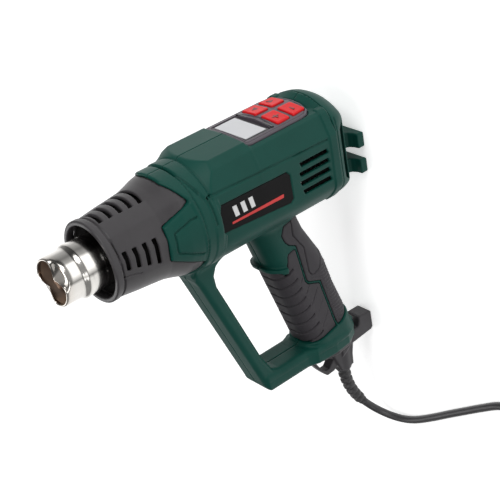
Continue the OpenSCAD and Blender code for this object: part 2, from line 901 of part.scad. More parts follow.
left_housing();
right_housing();
nose_shroud();
rear_cover();
display_bezel();
lcd_window();
lcd_module();
display_board();
button_air_up();
button_air_down();
button_heat_up();
button_heat_down();
tact_switches();
grip_front_rubber();
grip_back_rubber();
label_plate_left();
label_plate_right();
power_slider();
switch_body();
base_bracket();
strain_relief();
supply_cord();
cord_coil();
cord_tie();
mains_plug();
plug_pins();
cord_tail();
cord_clamp();
clamp_screws();
terminal_block();
inner_leads();
housing_screws();
motor_can();
motor_end_cap();
motor_screws();
motor_shaft();
fan_impeller();
fan_duct();
heater_tube();
mica_sleeve();
heater_core();
heating_coils();
temperature_probe();
heater_flange();
heater_screws();
heat_shield();
power_board();
heat_sink();
triac();
film_capacitor();
intake_filters();
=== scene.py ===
"""The looks of a hot air gun that stands on its tail, nozzle up."""
import bpy
import json
import math
import numpy as np
from mathutils import Matrix, Vector


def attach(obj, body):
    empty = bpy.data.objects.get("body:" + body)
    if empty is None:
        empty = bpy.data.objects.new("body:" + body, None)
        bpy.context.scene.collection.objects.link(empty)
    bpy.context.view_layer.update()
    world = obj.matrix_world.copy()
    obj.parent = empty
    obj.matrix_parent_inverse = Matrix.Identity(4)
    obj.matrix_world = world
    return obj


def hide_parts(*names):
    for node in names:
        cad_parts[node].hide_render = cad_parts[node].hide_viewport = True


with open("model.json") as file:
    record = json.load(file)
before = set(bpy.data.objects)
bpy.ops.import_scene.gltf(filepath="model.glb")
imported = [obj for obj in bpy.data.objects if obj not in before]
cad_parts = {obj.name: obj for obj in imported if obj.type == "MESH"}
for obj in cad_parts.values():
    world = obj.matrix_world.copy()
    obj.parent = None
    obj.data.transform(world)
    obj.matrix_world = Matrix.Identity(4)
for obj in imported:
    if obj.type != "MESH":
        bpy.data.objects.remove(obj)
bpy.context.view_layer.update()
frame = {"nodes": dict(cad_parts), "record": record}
AXIS_X = 74.25          # the barrel's axis, in mm; pieces are drawn about it and moved there
MM = 0.001

# ---------------------------------------------------------------- camera and cord

# where the camera is, in metres, and which way its right, its top and its back point
CAMERA_AT = Vector((0.506, -0.7087, 0.6048))
CAMERA_RIGHT = Vector((-0.1577, -0.6436, -0.7489))
CAMERA_UP = Vector((0.8596, 0.2838, -0.4249))
CAMERA_BACK = Vector((0.4861, -0.7108, 0.5085))
LENS_MM = 101.4768      # on a sensor 36 mm wide
CORD_R = 3.0            # the cord's radius, in mm

# paths in mm: along the strain relief, the cord from it to the coil, and from the coil to the plug
RELIEF = [(-104, 0, 30), (-110, 0, 30), (-117.8, 0, 30), (-123.5, -0.5, 30), (-129, -1, 29.5),
          (-134.5, -1.8, 28.5), (-140, -2.5, 26.8), (-145.2, -3, 24.5), (-150, -3.4, 21.8),
          (-154.8, -3.8, 18.8)]
ROUTE = [(-154.8, -3.8, 18.8), (-159.5, -5, 15.5), (-163.8, -7.8, 12.4), (-167.5, -13, 9.2),
         (-169.8, -20.5, 6.4), (-170, -30, 4.2), (-167, -41, 3.2), (-161, -53, 3.1),
         (-152, -68, 3.1), (-142.5, -83, 3.1), (-132, -100, 3.1), (-121, -118, 3.1),
         (-111.5, -135, 3.1), (-106.5, -152, 3.1), (-105, -170, 3.1), (-105.5, -182, 3.1),
         (-106, -195, 3.1)]
TAIL = [(-27, -195, 15), (-25, -180, 12), (-16, -170, 7), (-2, -166, 3.6), (12, -170, 3.1),
        (24, -180, 3.1), (32, -194, 3.4), (35, -210, 5), (33, -225, 9), (26.5, -236.5, 14),
        (17, -244, 17.4), (12, -247, 18.1)]
COIL_AT = (-67, -207)


def smooth_path(points, step=2.0):
    """Points along a Catmull-Rom curve through the given ones."""
    p = np.array(points, float)
    p = np.vstack([2 * p[0] - p[1], p, 2 * p[-1] - p[-2]])
    out = []
    for i in range(1, len(p) - 2):
        n = max(int(np.linalg.norm(p[i + 1] - p[i]) / step), 1)
        for t in np.arange(n) / n:
            a, b, c, d = p[i - 1], p[i], p[i + 1], p[i + 2]
            out.append(0.5 * (2 * b + (c - a) * t + (2 * a - 5 * b + 4 * c - d) * t ** 2
                              + (3 * b - a - 3 * c + d) * t ** 3))
    out.append(p[-2])
    return np.array(out)


def coil_points():
    """Seven and a half turns, each a radius and a height: three flat, three above them, the rest on top."""
    turns = [(39, 3.1), (33, 3.1), (27, 3.1), (27, 9.25), (33, 9.25), (39, 9.25), (33, 15.4),
             (39, 15.4)]
    out = []
    per = 36
    for k, (r, z) in enumerate(turns):
        nr, nz = turns[k + 1] if k + 1 < len(turns) else (r, z)
        last = per if k + 1 < len(turns) else per // 2
        for i in range(last):
            t = i / per
            mix = np.clip((t - 0.72) / 0.28, 0, 1)
            mix = mix * mix * (3 - 2 * mix)
            a = math.pi + 2 * math.pi * t
            rr = r + (nr - r) * mix
            out.append((COIL_AT[0] + rr * math.cos(a), COIL_AT[1] + rr * math.sin(a),
                        z + (nz - z) * mix))
    return np.array(out)


CORD_PATH = np.vstack([smooth_path(ROUTE), coil_points()[1:], smooth_path(TAIL)[1:]])

# ---------------------------------------------------------------- meshes from numbers


def piece(name, verts, faces, mat, body="gun", about_axis=True, smooth=True, replaces=(), slot=None):
    """Makes one shown piece from vertices in mm, hangs it on the body it rides on and hides the parts it
    replaces.
    """
    v = np.array(verts, np.float64)
    if about_axis:
        v = v + np.array([AXIS_X, 0, 0])
    v = np.ascontiguousarray(v * MM, np.float32)
    me = bpy.data.meshes.new(name)
    if isinstance(faces, np.ndarray):
        n, k = faces.shape
        me.vertices.add(len(v))
        me.vertices.foreach_set("co", v.ravel())
        me.loops.add(n * k)
        me.loops.foreach_set("vertex_index", np.ascontiguousarray(faces, np.int32).ravel())
        me.polygons.add(n)
        me.polygons.foreach_set("loop_start", np.arange(0, n * k, k, dtype=np.int32))
        me.update(calc_edges=True)
    else:
        me.from_pydata([tuple(x) for x in v], [], [tuple(int(i) for i in f) for f in faces])
    me.validate()
    me.polygons.foreach_set("use_smooth", np.full(len(me.polygons), smooth))
    o = bpy.data.objects.new(name, me)
    bpy.context.scene.collection.objects.link(o)
    o.data.materials.append(mat)
    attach(o, body)
    if replaces:
        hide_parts(*replaces)
    return o


def surface(f, lo, hi, h, polish=2):
    """Vertices and quads of the surface where f is zero, inside where f is below zero."""
    lo, hi = np.array(lo, float), np.array(hi, float)
    n = np.ceil((hi - lo) / h).astype(int) + 1
    ax = [(lo[i] + h * np.arange(n[i])).astype(np.float32) for i in range(3)]
    x, y, z = ax[0][:, None, None], ax[1][None, :, None], ax[2][None, None, :]
    d = np.empty(n, np.float32)
    for i in range(0, n[0], 40):
        d[i:i + 40] = f(x[i:i + 40], y, z)
    s = d < 0
    count = np.zeros(n - 1, np.uint8)
    for a in (0, 1):
        for b in (0, 1):
            for c in (0, 1):
                count += s[a:n[0] - 1 + a, b:n[1] - 1 + b, c:n[2] - 1 + c]
    mixed = (count > 0) & (count < 8)
    i, j, k = np.nonzero(mixed)
    ids = np.full(n - 1, -1, np.int32)
    ids[mixed] = np.arange(len(i))
    total, hits = np.zeros((len(i), 3)), np.zeros(len(i))
    for axis in range(3):
        o1, o2 = [q for q in range(3) if q != axis]
        for u in (0, 1):
            for w in (0, 1):
                a = [i, j, k]
                a[o1] = a[o1] + u
                a[o2] = a[o2] + w
                b = list(a)
                b[axis] = b[axis] + 1
                va, vb = d[tuple(a)], d[tuple(b)]
                cross = (va < 0) != (vb < 0)
                t = np.where(cross, va / np.where(cross, va - vb, 1), 0)
                p = np.zeros((len(i), 3))
                p[:, axis], p[:, o1], p[:, o2] = t, u, w
                total += p * cross[:, None]
                hits += cross
    v = lo + h * (np.stack([i, j, k], 1) + total / hits[:, None])
    quads = []
    for axis in range(3):
        o1, o2 = (axis + 1) % 3, (axis + 2) % 3
        sl0, sl1 = [slice(1, -1)] * 3, [slice(1, -1)] * 3
        sl0[axis], sl1[axis] = slice(0, -1), slice(1, None)
        a, b = s[tuple(sl0)], s[tuple(sl1)]
        for flip in (0, 1):
            at = list(np.nonzero(a & ~b) if flip else np.nonzero(~a & b))
            at[o1] = at[o1] + 1
            at[o2] = at[o2] + 1
            q = []
            for u, w in ((-1, -1), (0, -1), (0, 0), (-1, 0)):
                c = list(at)
                c[o1] = c[o1] + u
                c[o2] = c[o2] + w
                q.append(ids[tuple(c)])
            q = np.stack(q if flip else q[::-1], 1)
            quads.append(q)
    quads = np.vstack(quads)
    e = 0.12
    for _ in range(polish):
        p = [v[:, q].astype(np.float32) for q in range(3)]
        base = f(*p)
        g = np.stack([f(*[p[r] + (e if r == q else 0) for r in range(3)]) - base
                      for q in range(3)], 1) / e
        step = base[:, None] * g / np.maximum((g * g).sum(1), 0.2)[:, None]
        v = v - np.clip(step, -0.35 * h, 0.35 * h)
    return v, quads


def smin(a, b, k):
    """Joins two shapes, with a blend k wide."""
    t = np.clip(0.5 + 0.5 * (b - a) / k, 0, 1)
    return b + (a - b) * t - k * t * (1 - t)


def smax(a, b, k):
    """What two shapes share, with a blend k wide."""
    return -smin(-a, -b, k)


def poly(px, py, pts, r=0.0):
    """Signed distance to a polygon, its corners rounded outwards by r."""
    p = np.array(pts, np.float32)
    d2 = None
    inside = None
    for i in range(len(p)):
        a, b = p[i], p[(i + 1) % len(p)]
        ex, ey = b - a
        wx, wy = px - a[0], py - a[1]
        t = np.clip((wx * ex + wy * ey) / (ex * ex + ey * ey), 0, 1)
        q = (wx - ex * t) ** 2 + (wy - ey * t) ** 2
        c = ((a[1] > py) != (b[1] > py)) & (px < (b[0] - a[0]) * (py - a[1])
                                           / (ey if ey else 1e-9) + a[0])
        d2 = q if d2 is None else np.minimum(d2, q)
        inside = c if inside is None else inside ^ c
    return np.where(inside, -1, 1) * np.sqrt(d2) - r


def slab(d, w, half, r=0.5):
    """A flat shape of distance d given thickness, its edges rounded by r."""
    a, b = d + r, np.abs(w) - half + r
    return np.minimum(np.maximum(a, b), 0) + np.sqrt(np.maximum(a, 0) ** 2
                                                      + np.maximum(b, 0) ** 2) - r


def carve(d, region, depth, k=0.3):
    """Takes depth off the skin of d where region is below zero."""
    return smax(d, -smax(region, -(d + depth), k), k)


def step01(x, a, b):
    """A smooth step from 0 at a to 1 at b."""
    t = np.clip((x - a) / (b - a), 0, 1)
    return t * t * (3 - 2 * t)


def rbox(x, y, z, c, half, r):
    """A box about c with rounded edges."""
    q = [np.abs(v - m) - s + r for v, m, s in zip((x, y, z), c, half)]
    out = np.sqrt(sum(np.maximum(v, 0) ** 2 for v in q))
    return out + np.minimum(np.maximum(np.maximum(q[0], q[1]), q[2]), 0) - r


# ---------------------------------------------------------------- shapes, in mm about the barrel

# the grip's lean: cosine and sine of its angle to the X axis
LEAN_C, LEAN_S = 0.95882, 0.28402
# the body's back end and the half width between its flats
BACK_END = 32.7
FLAT_Y = 34


def radius(x, y):
    return np.sqrt(x * x + y * y)


def round_angle(x, y):
    """Degrees round the barrel from the display side, the same to the left and to the right."""
    return np.degrees(np.arctan2(np.abs(y), x))


def grip_place(x, z):
    """(across, along) the grip: across grows towards its back, along grows towards the barrel."""
    dx, dz = x + 84, z - 63.5
    return dx * LEAN_S - dz * LEAN_C, dx * LEAN_C + dz * LEAN_S


def grip_solid(x, y, z, grow=0.0):
    """The rounded grip, its front, back and width changing along it."""
    u, s = grip_place(x, z)
    front = np.interp(s, [-70, -59, -20, 20, 38, 50], [-22.8, -22.6, -22, -21.6, -21.4, -22])
    back = np.interp(s, [-70, -51, -29, -6, 2, 14, 29, 50], [20, 21.2, 20.7, 22, 22, 19.8, 17.2, 17])
    half_w = np.interp(s, [-70, -40, 0, 40], [16.2, 16.5, 17, 16.4])
    mid, half = (front + back) / 2, (back - front) / 2
    r = 13.0
    a, b = np.abs(u - mid) - (half - r), np.abs(y) - (half_w - r)
    outer = np.hypot(np.maximum(a, 0), np.maximum(b, 0))
    inner = np.minimum(np.maximum(a, b), 0)
    return outer + inner - r - grow


# side views of the two rubbers, across and along the grip
FRONT_RUBBER = [(-32, 22), (-19, 17), (-15, 12), (-8.4, 24.5), (-7, 26), (-2, 26), (0, 24.5), (-4.3, -4),
                (-3, -8), (5.9, -15), (3.4, -51), (3.2, -60), (-32, -66)]
BACK_RUBBER = [(-0.8, 48), (-5.6, 42.5), (-5.4, 36), (-3.6, 31.5), (1.2, 27), (1.1, 24.5), (-3.2, -4),
               (-2, -7), (7, -14), (4.5, -51), (4.3, -60), (32, -54), (32, 48)]


def barrel(x, y):
    """The round body between its two flats."""
    return smax(radius(x, y) - 38.6, np.abs(y) - FLAT_Y, 2.0)


# sections of the raised deck, in X and Y: beside the display panel, and in front of it
DECK_LOW = [(0, -34), (20, -34), (34.6, -27.2), (36.4, -24.5), (36.6, 0), (36.4, 24.5), (34.6, 27.2),
            (20, 34), (0, 34)]
DECK_HIGH = [(0, -34), (20, -34), (34.6, -27.2), (39.6, -21.5), (40.8, 0), (39.6, 21.5),
             (34.6, 27.2), (20, 34), (0, 34)]
# side view of the hand guard, in X and Z
GUARD = [(-28, 158.5), (-36, 158.8), (-44, 157), (-52, 153), (-158.5, 114.2), (-162, 109.5),
         (-162, 60), (-149, 60), (-149, 100), (-146, 105.5), (-132, 113), (-58, 139.2),
         (-49, 139.8), (-43, 137), (-38, 130), (-28, 128)]


def edge_one(phi):
    """Height of the first ring's front edge, round the barrel from the display side."""
    return np.interp(phi, [0, 18, 50, 128, 142, 180], [168.5, 168, 159.6, 156.8, 158, 166])


def ring_gap(phi):
    """Height of the step between the two rings."""
    return np.interp(phi, [0, 20, 58, 180], [155.8, 155.2, 149, 150])


def notch(z, height, half, depth):
    """How far a shallow groove round the body at a height lowers its skin."""
    return np.clip(half - np.abs(z - height), 0, 1) * depth


def outer_body(x, y, z):
    """The barrel, its raised deck, the hump before the display and the two rings."""
    r = radius(x, y)
    phi = round_angle(x, y)
    low = smax(smax(barrel(x, y), z - 145.5, 0.8), BACK_END - z, 0.8)
    hump_front = r - (38.8 + 0.6 * (144.6 - z))
    hump = smax(poly(x, y, DECK_HIGH), np.maximum(z - 146, 100.9 - z), 0.5)
    hump = smax(hump, hump_front, 0.5)
    deck = smax(poly(x, y, DECK_LOW), np.maximum(z - 103, BACK_END - z), 0.8)
    # raised frame at the back edge, and the slope up to the rear cover
    frame_at = smin(barrel(x, y), poly(x, y, DECK_LOW), 0.5) - 0.9
    frame_at = smax(frame_at, np.abs(z - 36.1) - 3.3, 0.7)
    d = smin(low, smin(hump, deck, 0.5), 0.6)
    d = smin(d, smax(frame_at, 20 - np.abs(y), 1.0), 0.5)
    ramp = smax(r - (43.3 - 0.62 * (z - BACK_END)), np.maximum(np.abs(y) - 31, 30 - x), 1.0)
    d = smin(d, smax(ramp, np.maximum(z - 38.6, BACK_END - z), 0.6), 0.8)
    front_ring = smax(r - 38.7, np.maximum(z - edge_one(phi), 140 - z), 1.1)
    back_ring = smax(r - 39.3, np.maximum(z - ring_gap(phi), 143 - z), 1.0)
    d = smin(d, smin(front_ring, back_ring, 0.2), 0.4)
    skin = r > 34
    d = d + notch(z, ring_gap(phi) + 0.7, 1.3, 1.2) * np.clip((64 - phi) / 12, 0, 1) * skin
    return d + notch(z, 144.6, 1.2, 0.8) * np.clip((70 - phi) / 10, 0, 1) * skin


def chevron(x, y, z, grow=0.0):
    """The green panel that reaches forward over the side of the shroud."""
    r = radius(x, y)
    outline = poly(x, z, [(24.5, 150), (22.5, 160), (14.4, 182), (-8.5, 182.6), (-21.5, 157),
                          (-21.5, 150)], 0.4 + grow)
    skin = r - np.interp(z, [150, 160, 168, 176, 184], [38.2, 38.0, 36.8, 34.9, 33.3])
    return smax(outline, smax(skin - grow, 30.5 - r, 0.4), 0.7)


def base_solid(x, y, z):
    """The foot of the grip, with the collar that the rubber ends at."""
    plan = poly(y, z, [(-14, 112), (14, 112), (14, 74), (18, 66), (18.6, 48), (17, 34), (11, 23),
                       (4, 17.5), (-4, 17.5), (-11, 23), (-17, 34), (-18.6, 48), (-18, 66),
                       (-14, 74)])
    bar = slab(plan, x + 155.4, 6.6, 2.2)
    _, s = grip_place(x, z)
    collar = smax(grip_solid(x, y, z, 1.6), np.maximum(s + 57.5, -x - 153), 1.5)
    return smin(bar, collar, 2.0)


def grip_collar(x, y, z):
    """The slanted lip where the green part of the grip ends."""
    u, s = grip_place(x, z)
    flare = np.interp(u, [-28, -20, -9, 0], [3.6, 3.2, 1.8, 0])
    up = s - 21 + 0.42 * (u + 22)
    band = np.maximum(np.abs(up) - 4.4 + 4.0 * (up > 0), u + 4)
    return smax(grip_solid(x, y, z) - flare, band, 1.2)


def barrel_cavity(x, y, z):
    r = radius(x, y)
    cavity = smax(smax(r - 35.6, np.abs(y) - 31.2, 1.0), z - 142, 1.0)
    mouth = np.maximum(r - 36.1, 141 - z)
    return np.minimum(np.maximum(cavity, 20 - z), mouth)


def rubber_seats(d, x, y, z):
    """Sinks the two rubbers' seats into the grip."""
    u, s = grip_place(x, z)
    clear_of_barrel = 38.9 - radius(x, y)
    for outline, lift in ((FRONT_RUBBER, 0), (BACK_RUBBER, 0.2)):
        seat = smax(poly(u, s, outline), -(grip_solid(x, y, z) + 2.2), 0.2)
        seat = np.maximum(seat, -x - 140.5 - 0.25 * (z - 47))
        d = smax(d, -np.maximum(seat, clear_of_barrel - lift), 0.25)
    return d


def body_grooves(d, x, y, z):
    """The line along each side, the upright one before the plate, and two seams."""
    off_side = 24 - np.abs(y)
    line_x = 21.5 + (z - 147) * 0.03
    along = np.maximum(np.maximum(np.abs(x - line_x) - 0.7, off_side), np.abs(z - 94) - 53.5)
    upright = np.maximum(np.maximum(np.abs(z - 147.3) - 0.7, off_side), np.abs(x - 12.5) - 9.5)
    d = carve(d, along, 1.0, 0.4)
    d = carve(d, upright, 1.0, 0.4)
    d = carve(d, np.abs(x + 154.2) - 0.28, 0.6, 0.15)
    return carve(d, np.maximum(np.abs(z - 156.1) - 0.4, -x - 60), 0.7, 0.2)


def air_slots(d, x, y, z):
    """Four slots in each side of the body, the outer two a little shorter."""
    for i in range(4):
        c = 10.4 - 7.0 * i
        top = 67.5 if i in (0, 3) else 69
        slot = poly(x, z, [(c + 1.6, top + 0.7), (c + 1.6, 43.2), (c - 1.6, 41.6), (c - 1.6, top - 0.7)],
                    0.25)
        d = smax(d, -np.maximum(slot, 28 - np.abs(y)), 0.7)
    return d


def housing(x, y, z):
    """Both shells in one, before they are parted at Y = 0."""
    grip = smax(grip_solid(x, y, z), np.maximum(-x - 150, x + 20), 1.0)
    guard = slab(poly(x, z, GUARD), y, 14, 4.2)
    handle = smin(smin(grip, base_solid(x, y, z), 2.5), guard, 3.5)
    d = smin(outer_body(x, y, z), handle, 4.5)
    d = smin(d, grip_collar(x, y, z), 1.6)
    d = smax(d, -barrel_cavity(x, y, z), 0.4)
    d = smin(d, chevron(x, y, z), 0.8)
    # thin line inside the green side panel
    line = poly(x, z, [(13.5, 155), (13, 164), (8.6, 177), (-4.6, 177.6), (-12.5, 160), (-13, 155)], 0.5)
    d = carve(d, np.maximum(np.abs(line) - 0.6, 159 - z), 1.1, 0.2)
    # seats of the display panel, the rubbers, the slider and the side plate
    d = smax(d, -np.maximum(bezel_plan(y, z) - 0.3, 33.4 - x), 0.3)
    d = rubber_seats(d, x, y, z)
    d = smax(d, -thumb_way(x, y, z), 0.3)
    d = body_grooves(d, x, y, z)
    d = smax(d, -smax(poly(x, z, LABEL, 0.5), 33.2 - np.abs(y), 0.2), 0.3)
    return air_slots(d, x, y, z)


# side view of the side plate
LABEL = [(12, 140.5), (9, 142), (-5, 142.2), (-8.2, 139.5), (-12.6, 81), (-10.4, 78.2), (7.5, 78.4),
         (10.6, 81)]


# half the gap between the two shells
PARTING = 0.16


def left_half(x, y, z):
    return smax(housing(x, y, z), y + PARTING, 0.5)


SCREW_HOLES = [(30, 137), (24, 42), (-29, 42), (-44, 147), (-95.5, 73.5), (-137.5, 61), (-154, 104)]


def right_half(x, y, z):
    d = smax(housing(x, y, z), PARTING - y, 0.5)
    for hx, hz in SCREW_HOLES:
        r = np.hypot(x - hx, z - hz)
        d = smax(d, -np.maximum(r - 3.1, 9.5 - y), 0.4)
    return d


def shroud(x, y, z):
    """The dark cone round the nozzle, with a spigot that sits under the front ring."""
    r = radius(x, y)
    phi = round_angle(x, y)
    prof = np.interp(z, [150, 160, 166, 170, 176, 182, 187, 194, 203, 208, 218.5, 219.5, 223, 224],
                     [37.0, 37.0, 36.9, 36.0, 34.1, 32.5, 31.9, 31.2, 30.4, 29.8, 28.5, 29.3, 29.3, 29.0])
    prof = np.where(z < edge_one(phi) + 0.6, np.minimum(prof, 35.8), prof)
    d = r - prof
    # long crease: flats below it and on the crown
    for a, off in ((61, -1.3), (92, -0.9)):
        c, s = math.cos(math.radians(a)), math.sin(math.radians(a))
        flat = x * c + np.abs(y) * s - (prof + off)
        d = np.where(z < 218, smax(d, flat, 0.35), d)
    ends = np.maximum(z - 223.9, edge_one(phi) - 3.5 - z)
    d = smax(d, ends, 0.9)
    inner = r - np.interp(z, [150, 176, 190, 216, 221, 224], [33.9, 31.0, 29.2, 26.2, 25.5, 25.9])
    d = smax(d, -inner, 0.6)
    d = carve(d, np.abs(z - 217.6) - 0.45, 0.7, 0.2)
    # curved louvres over the crown
    for i in range(5):
        zc = 213.5 - 7.5 * i + 1.1 * (phi / 20) ** 2
        louvre = np.maximum(np.abs(z - zc) - 1.5, phi - (17 + 1.4 * i))
        d = carve(d, louvre, 1.5, 0.5)
    # side slots
    for i in range(4):
        zc = 213 - 7.3 * i
        lo_x = (-2, -3, -5, -7)[i]
        slot = poly(x, z, [(10.5, zc + 1.3), (10.5, zc - 1.5), (lo_x, zc - 1.3), (lo_x + 0.6, zc + 1.2)],
                    0.25)
        d = smax(d, -np.maximum(slot, 20 - np.abs(y)), 0.5)
    line = poly(x, z, [(-4.6, 218), (-5.2, 217.6), (-7.6, 205), (-7.0, 204.6)], 0.15)
    d = carve(d, np.maximum(line, 20 - np.abs(y)), 0.7, 0.2)
    return smax(d, -chevron(x, y, z, 0.35), 0.25)


def rear(x, y, z):
    """The domed rear cover and the two lugs that the gun stands on."""
    r = radius(x, y)
    low = smax(r - 38.7, np.abs(y) - 33.9, 2.0)
    deck = poly(x, y, [(0, -33.9), (20, -33.9), (33, -29), (38, -22), (38, 22), (33, 29), (20, 33.9),
                       (0, 33.9)])
    dome = smax(smax(r - 43.6, np.abs(y) - 31, 3.0), -x, 1.0)
    d = smin(smin(low, deck, 1.0), dome, 3.0)
    back = 32.5 - z
    d = smax(d, np.abs(y) - (34.6 - 0.62 * back), 3.0)
    d = smax(d, r - (44.0 - 0.18 * back - 0.024 * back * back), 2.5)
    low_r = r - (39 - 0.035 * back * back / 2)
    d = np.where(x < 0, smax(d, low_r, 1.0), d)
    d = smax(d, 16.5 - z, 4.0)
    d = smax(d, z - 32.3, 0.7)
    # notches at the joint
    d = carve(d, np.maximum(np.abs(z - 30.2) - 0.45, x - 30), 0.7, 0.2)
    d = smax(d, -np.maximum(smax(r - 35, np.abs(y) - 30, 1.0), 20 - z), 0.4)
    plan = poly(y, z, [(-15.5, 19), (-15.5, 10.5), (-17, 8), (-20.5, 6.4), (-25, 5.8), (-25, 0),
                       (25, 0), (25, 5.8), (20.5, 6.4), (17, 8), (15.5, 10.5), (15.5, 19)])
    for mid, half in ((-0.7, 5.8), (-21, 5.5)):
        lug = slab(plan, x - mid, half, 1.1)
        d = smin(d, lug, 1.6)
    post = rbox(x, y, z, (-10.6, 0, 11), (6, 7, 7), 0.8)
    return smin(d, post, 0.8)


def bezel_plan(y, z):
    """Plan of the display panel's bezel."""
    return poly(y, z, [(-22.4, 102), (22.4, 102), (23.6, 98), (23.4, 52), (22.2, 46.5), (18.6, 42.4),
                       (10, 40), (0, 39.2), (-10, 40), (-18.6, 42.4), (-22.2, 46.5), (-23.4, 52),
                       (-23.6, 98)])


def crown(y, height):
    """The slight crown that the display panel and its buttons share."""
    return height - y * y / 210.0


BUTTON_Y = (-10.9, 10.9)
BUTTON_Z = (64.6, 49.6)


def button_shape(y, z, col, row, grow=0.0):
    """Plan of one button; the two columns mirror each other."""
    v = (y - BUTTON_Y[col]) * (1 if col else -1)
    w = z - BUTTON_Z[row]
    low = 0.6 if row else 0.0
    return poly(v, w, [(-7.6, 5.9), (7.4, 5.2), (8.0 - low, 4.6), (7.6 - 2 * low, -5.6),
                       (6.8 - 2 * low, -6.1), (-7.2, -5.6), (-8.0, -5.0), (-8.2, 5.3)], 0.15 + grow)


def bezel(x, y, z):
    plan = bezel_plan(y, z)
    top = x - crown(y, 40.2)
    d = smax(smax(plan, top, 1.0), 33.6 - x, 0.4)
    window = poly(y, z, [(-18.2, 98), (18.2, 98), (18.2, 76.6), (0, 75.6), (-18.2, 76.6)], 0.8)
    d = smax(d, -np.maximum(window, 36.8 - x), 0.5)
    band = poly(y, z, [(-19.4, 75.4), (0, 74.2), (19.4, 75.4), (19.4, 73.6), (0, 70.9), (-19.4, 73.6)])
    d = smax(d, -np.maximum(band, crown(y, 39.5) - x), 0.3)
    for col in (0, 1):
        for row in (0, 1):
            d = smax(d, -np.maximum(button_shape(y, z, col, row, 0.35), 35.8 - x), 0.35)
    d = carve(d, np.abs(plan + 1.9) - 0.3, 0.5, 0.1)
    return d


def button(col, row):
    """A button with a shallow dish for the finger."""
    def f(x, y, z):
        off_centre = (y - BUTTON_Y[col]) ** 2 + (z - BUTTON_Z[row]) ** 2
        dish = crown(y, 41.3) - 0.25 + 0.0066 * off_centre
        top = x - np.minimum(dish, crown(y, 41.4))
        return smax(smax(button_shape(y, z, col, row), top, 0.9), 37.0 - x, 0.3)
    return f


def front_rubber(x, y, z):
    g = grip_solid(x, y, z, 0.25)
    u, s = grip_place(x, z)
    reg = poly(u, s, FRONT_RUBBER) + 0.45
    d = smax(g, reg, 0.7)
    d = smax(d, -x - 140 - 0.25 * (z - 47), 0.5)
    for i in range(8):
        c = 9 - 9.4 * i
        rib = np.maximum(np.abs(s - c - 0.3 * (u + 22)) - 0.95, u + 9.5 - 0.2 * abs(i - 3))
        d = carve(d, rib, 1.3, 0.5)
    for i in range(5):
        c = 2 - 12 * i
        line = np.maximum(np.abs(s - c - 0.9 * (u + 4)) - 0.3, np.abs(u + 3) - 5.2)
        d = carve(d, line, 0.5, 0.15)
    return smax(d, -(grip_solid(x, y, z) + 2.0), 0.2)


# side view of the smooth palm rest, across and along the grip
PALM = [(8, 60), (5.7, 44), (2.8, 36), (4.9, 27), (6.6, 21), (1.6, 0.5), (2.4, -3.5), (5, -5), (11, -4),
        (19.5, 5), (34, 9), (34, 60)]


def thumb_way(x, y, z):
    """The slot in the back of the grip that the power slider moves in."""
    u, s = grip_place(x, z)
    return slab(poly(u, s, [(12, 3), (40, 3), (40, 25), (12, 25)]), y, 5.1, 0.6)


def back_rubber(x, y, z):
    g = grip_solid(x, y, z, 0.3)
    u, s = grip_place(x, z)
    r = radius(x, y)
    reg = poly(u, s, BACK_RUBBER) + 0.45
    d = smax(g, reg, 0.7)
    d = smax(d, -x - 140 - 0.25 * (z - 47), 0.5)
    palm = poly(u, s, PALM)
    d = carve(d, np.abs(palm) - 0.4, 0.8, 0.3)
    wave = 0.32 * np.cos(2 * math.pi * (s + 0.35 * u) / 3.1) * (s < -5)
    d = d - np.where(palm > 1, wave * np.clip(palm - 1, 0, 1) * np.clip(-reg - 1, 0, 1), 0)
    d = smax(d, -(grip_solid(x, y, z) + 2.0), 0.2)
    d = smax(d, -thumb_way(x, y, z), 0.5)
    return smax(d, -(r - 38.8), 0.3)


def bracket(x, y, z):
    """The base bracket: plate, cord boss, hanging loop, web and the hook it stands on."""
    plan = poly(y, z, [(-8, 66), (8, 66), (13, 58), (15.6, 44), (13, 30), (8, 23), (-8, 23), (-13, 30),
                       (-15.6, 44), (-13, 58)])
    plate = slab(plan, x + 164, 2.0, 0.8)
    r = np.hypot(y, z - 30)
    boss = smax(r - 6.6, np.maximum(-x - 192, x + 160), 0.8)
    loop = slab(poly(x, z, [(-163, 64.5), (-172.5, 61), (-180, 56), (-185, 52), (-188, 49), (-187.5, 42),
                            (-182, 36), (-163, 30)], 0.3), y, 4.0, 1.6)
    hole = poly(x, z, [(-170.3, 58.5), (-178.4, 54), (-182, 50.4), (-182, 47.5), (-177, 42.5),
                       (-170.3, 44)], 0.8)
    d = smin(smin(plate, boss, 1.5), smax(loop, -hole, 1.0), 1.0)
    web = slab(poly(x, z, [(-163, 46), (-163, 20), (-172, 21), (-181, 23), (-190, 23.5), (-191, 36)], 0.3),
               y, 5.9, 1.5)
    d = smin(d, web, 1.2)
    hook = slab(poly(x, z, [(-163, 34), (-162.6, 22.5), (-160.8, 21), (-160.8, 15), (-157.5, 13.4),
                            (-153.3, 13.2), (-152.6, 11.5), (-152.8, 1.4), (-154, 0.1), (-167.6, 0.1),
                            (-169.4, 2), (-170.6, 14), (-171.6, 24), (-178, 34)], 0.1), y, 7, 1.2)
    d = smin(d, hook, 1.0)
    d = carve(d, np.maximum(np.abs(np.abs(y) - 3.4) - 0.3, np.maximum(x + 186.5, z - 40)), 0.4, 0.15)
    d = smax(d, -(r - 5.0), 0.3)
    return d


# ---------------------------------------------------------------- materials


def srgb(r, g, b):
    return tuple(((c / 255 + 0.055) / 1.055) ** 2.4 if c > 10 else c / 255 / 12.92
                 for c in (r, g, b)) + (1.0,)


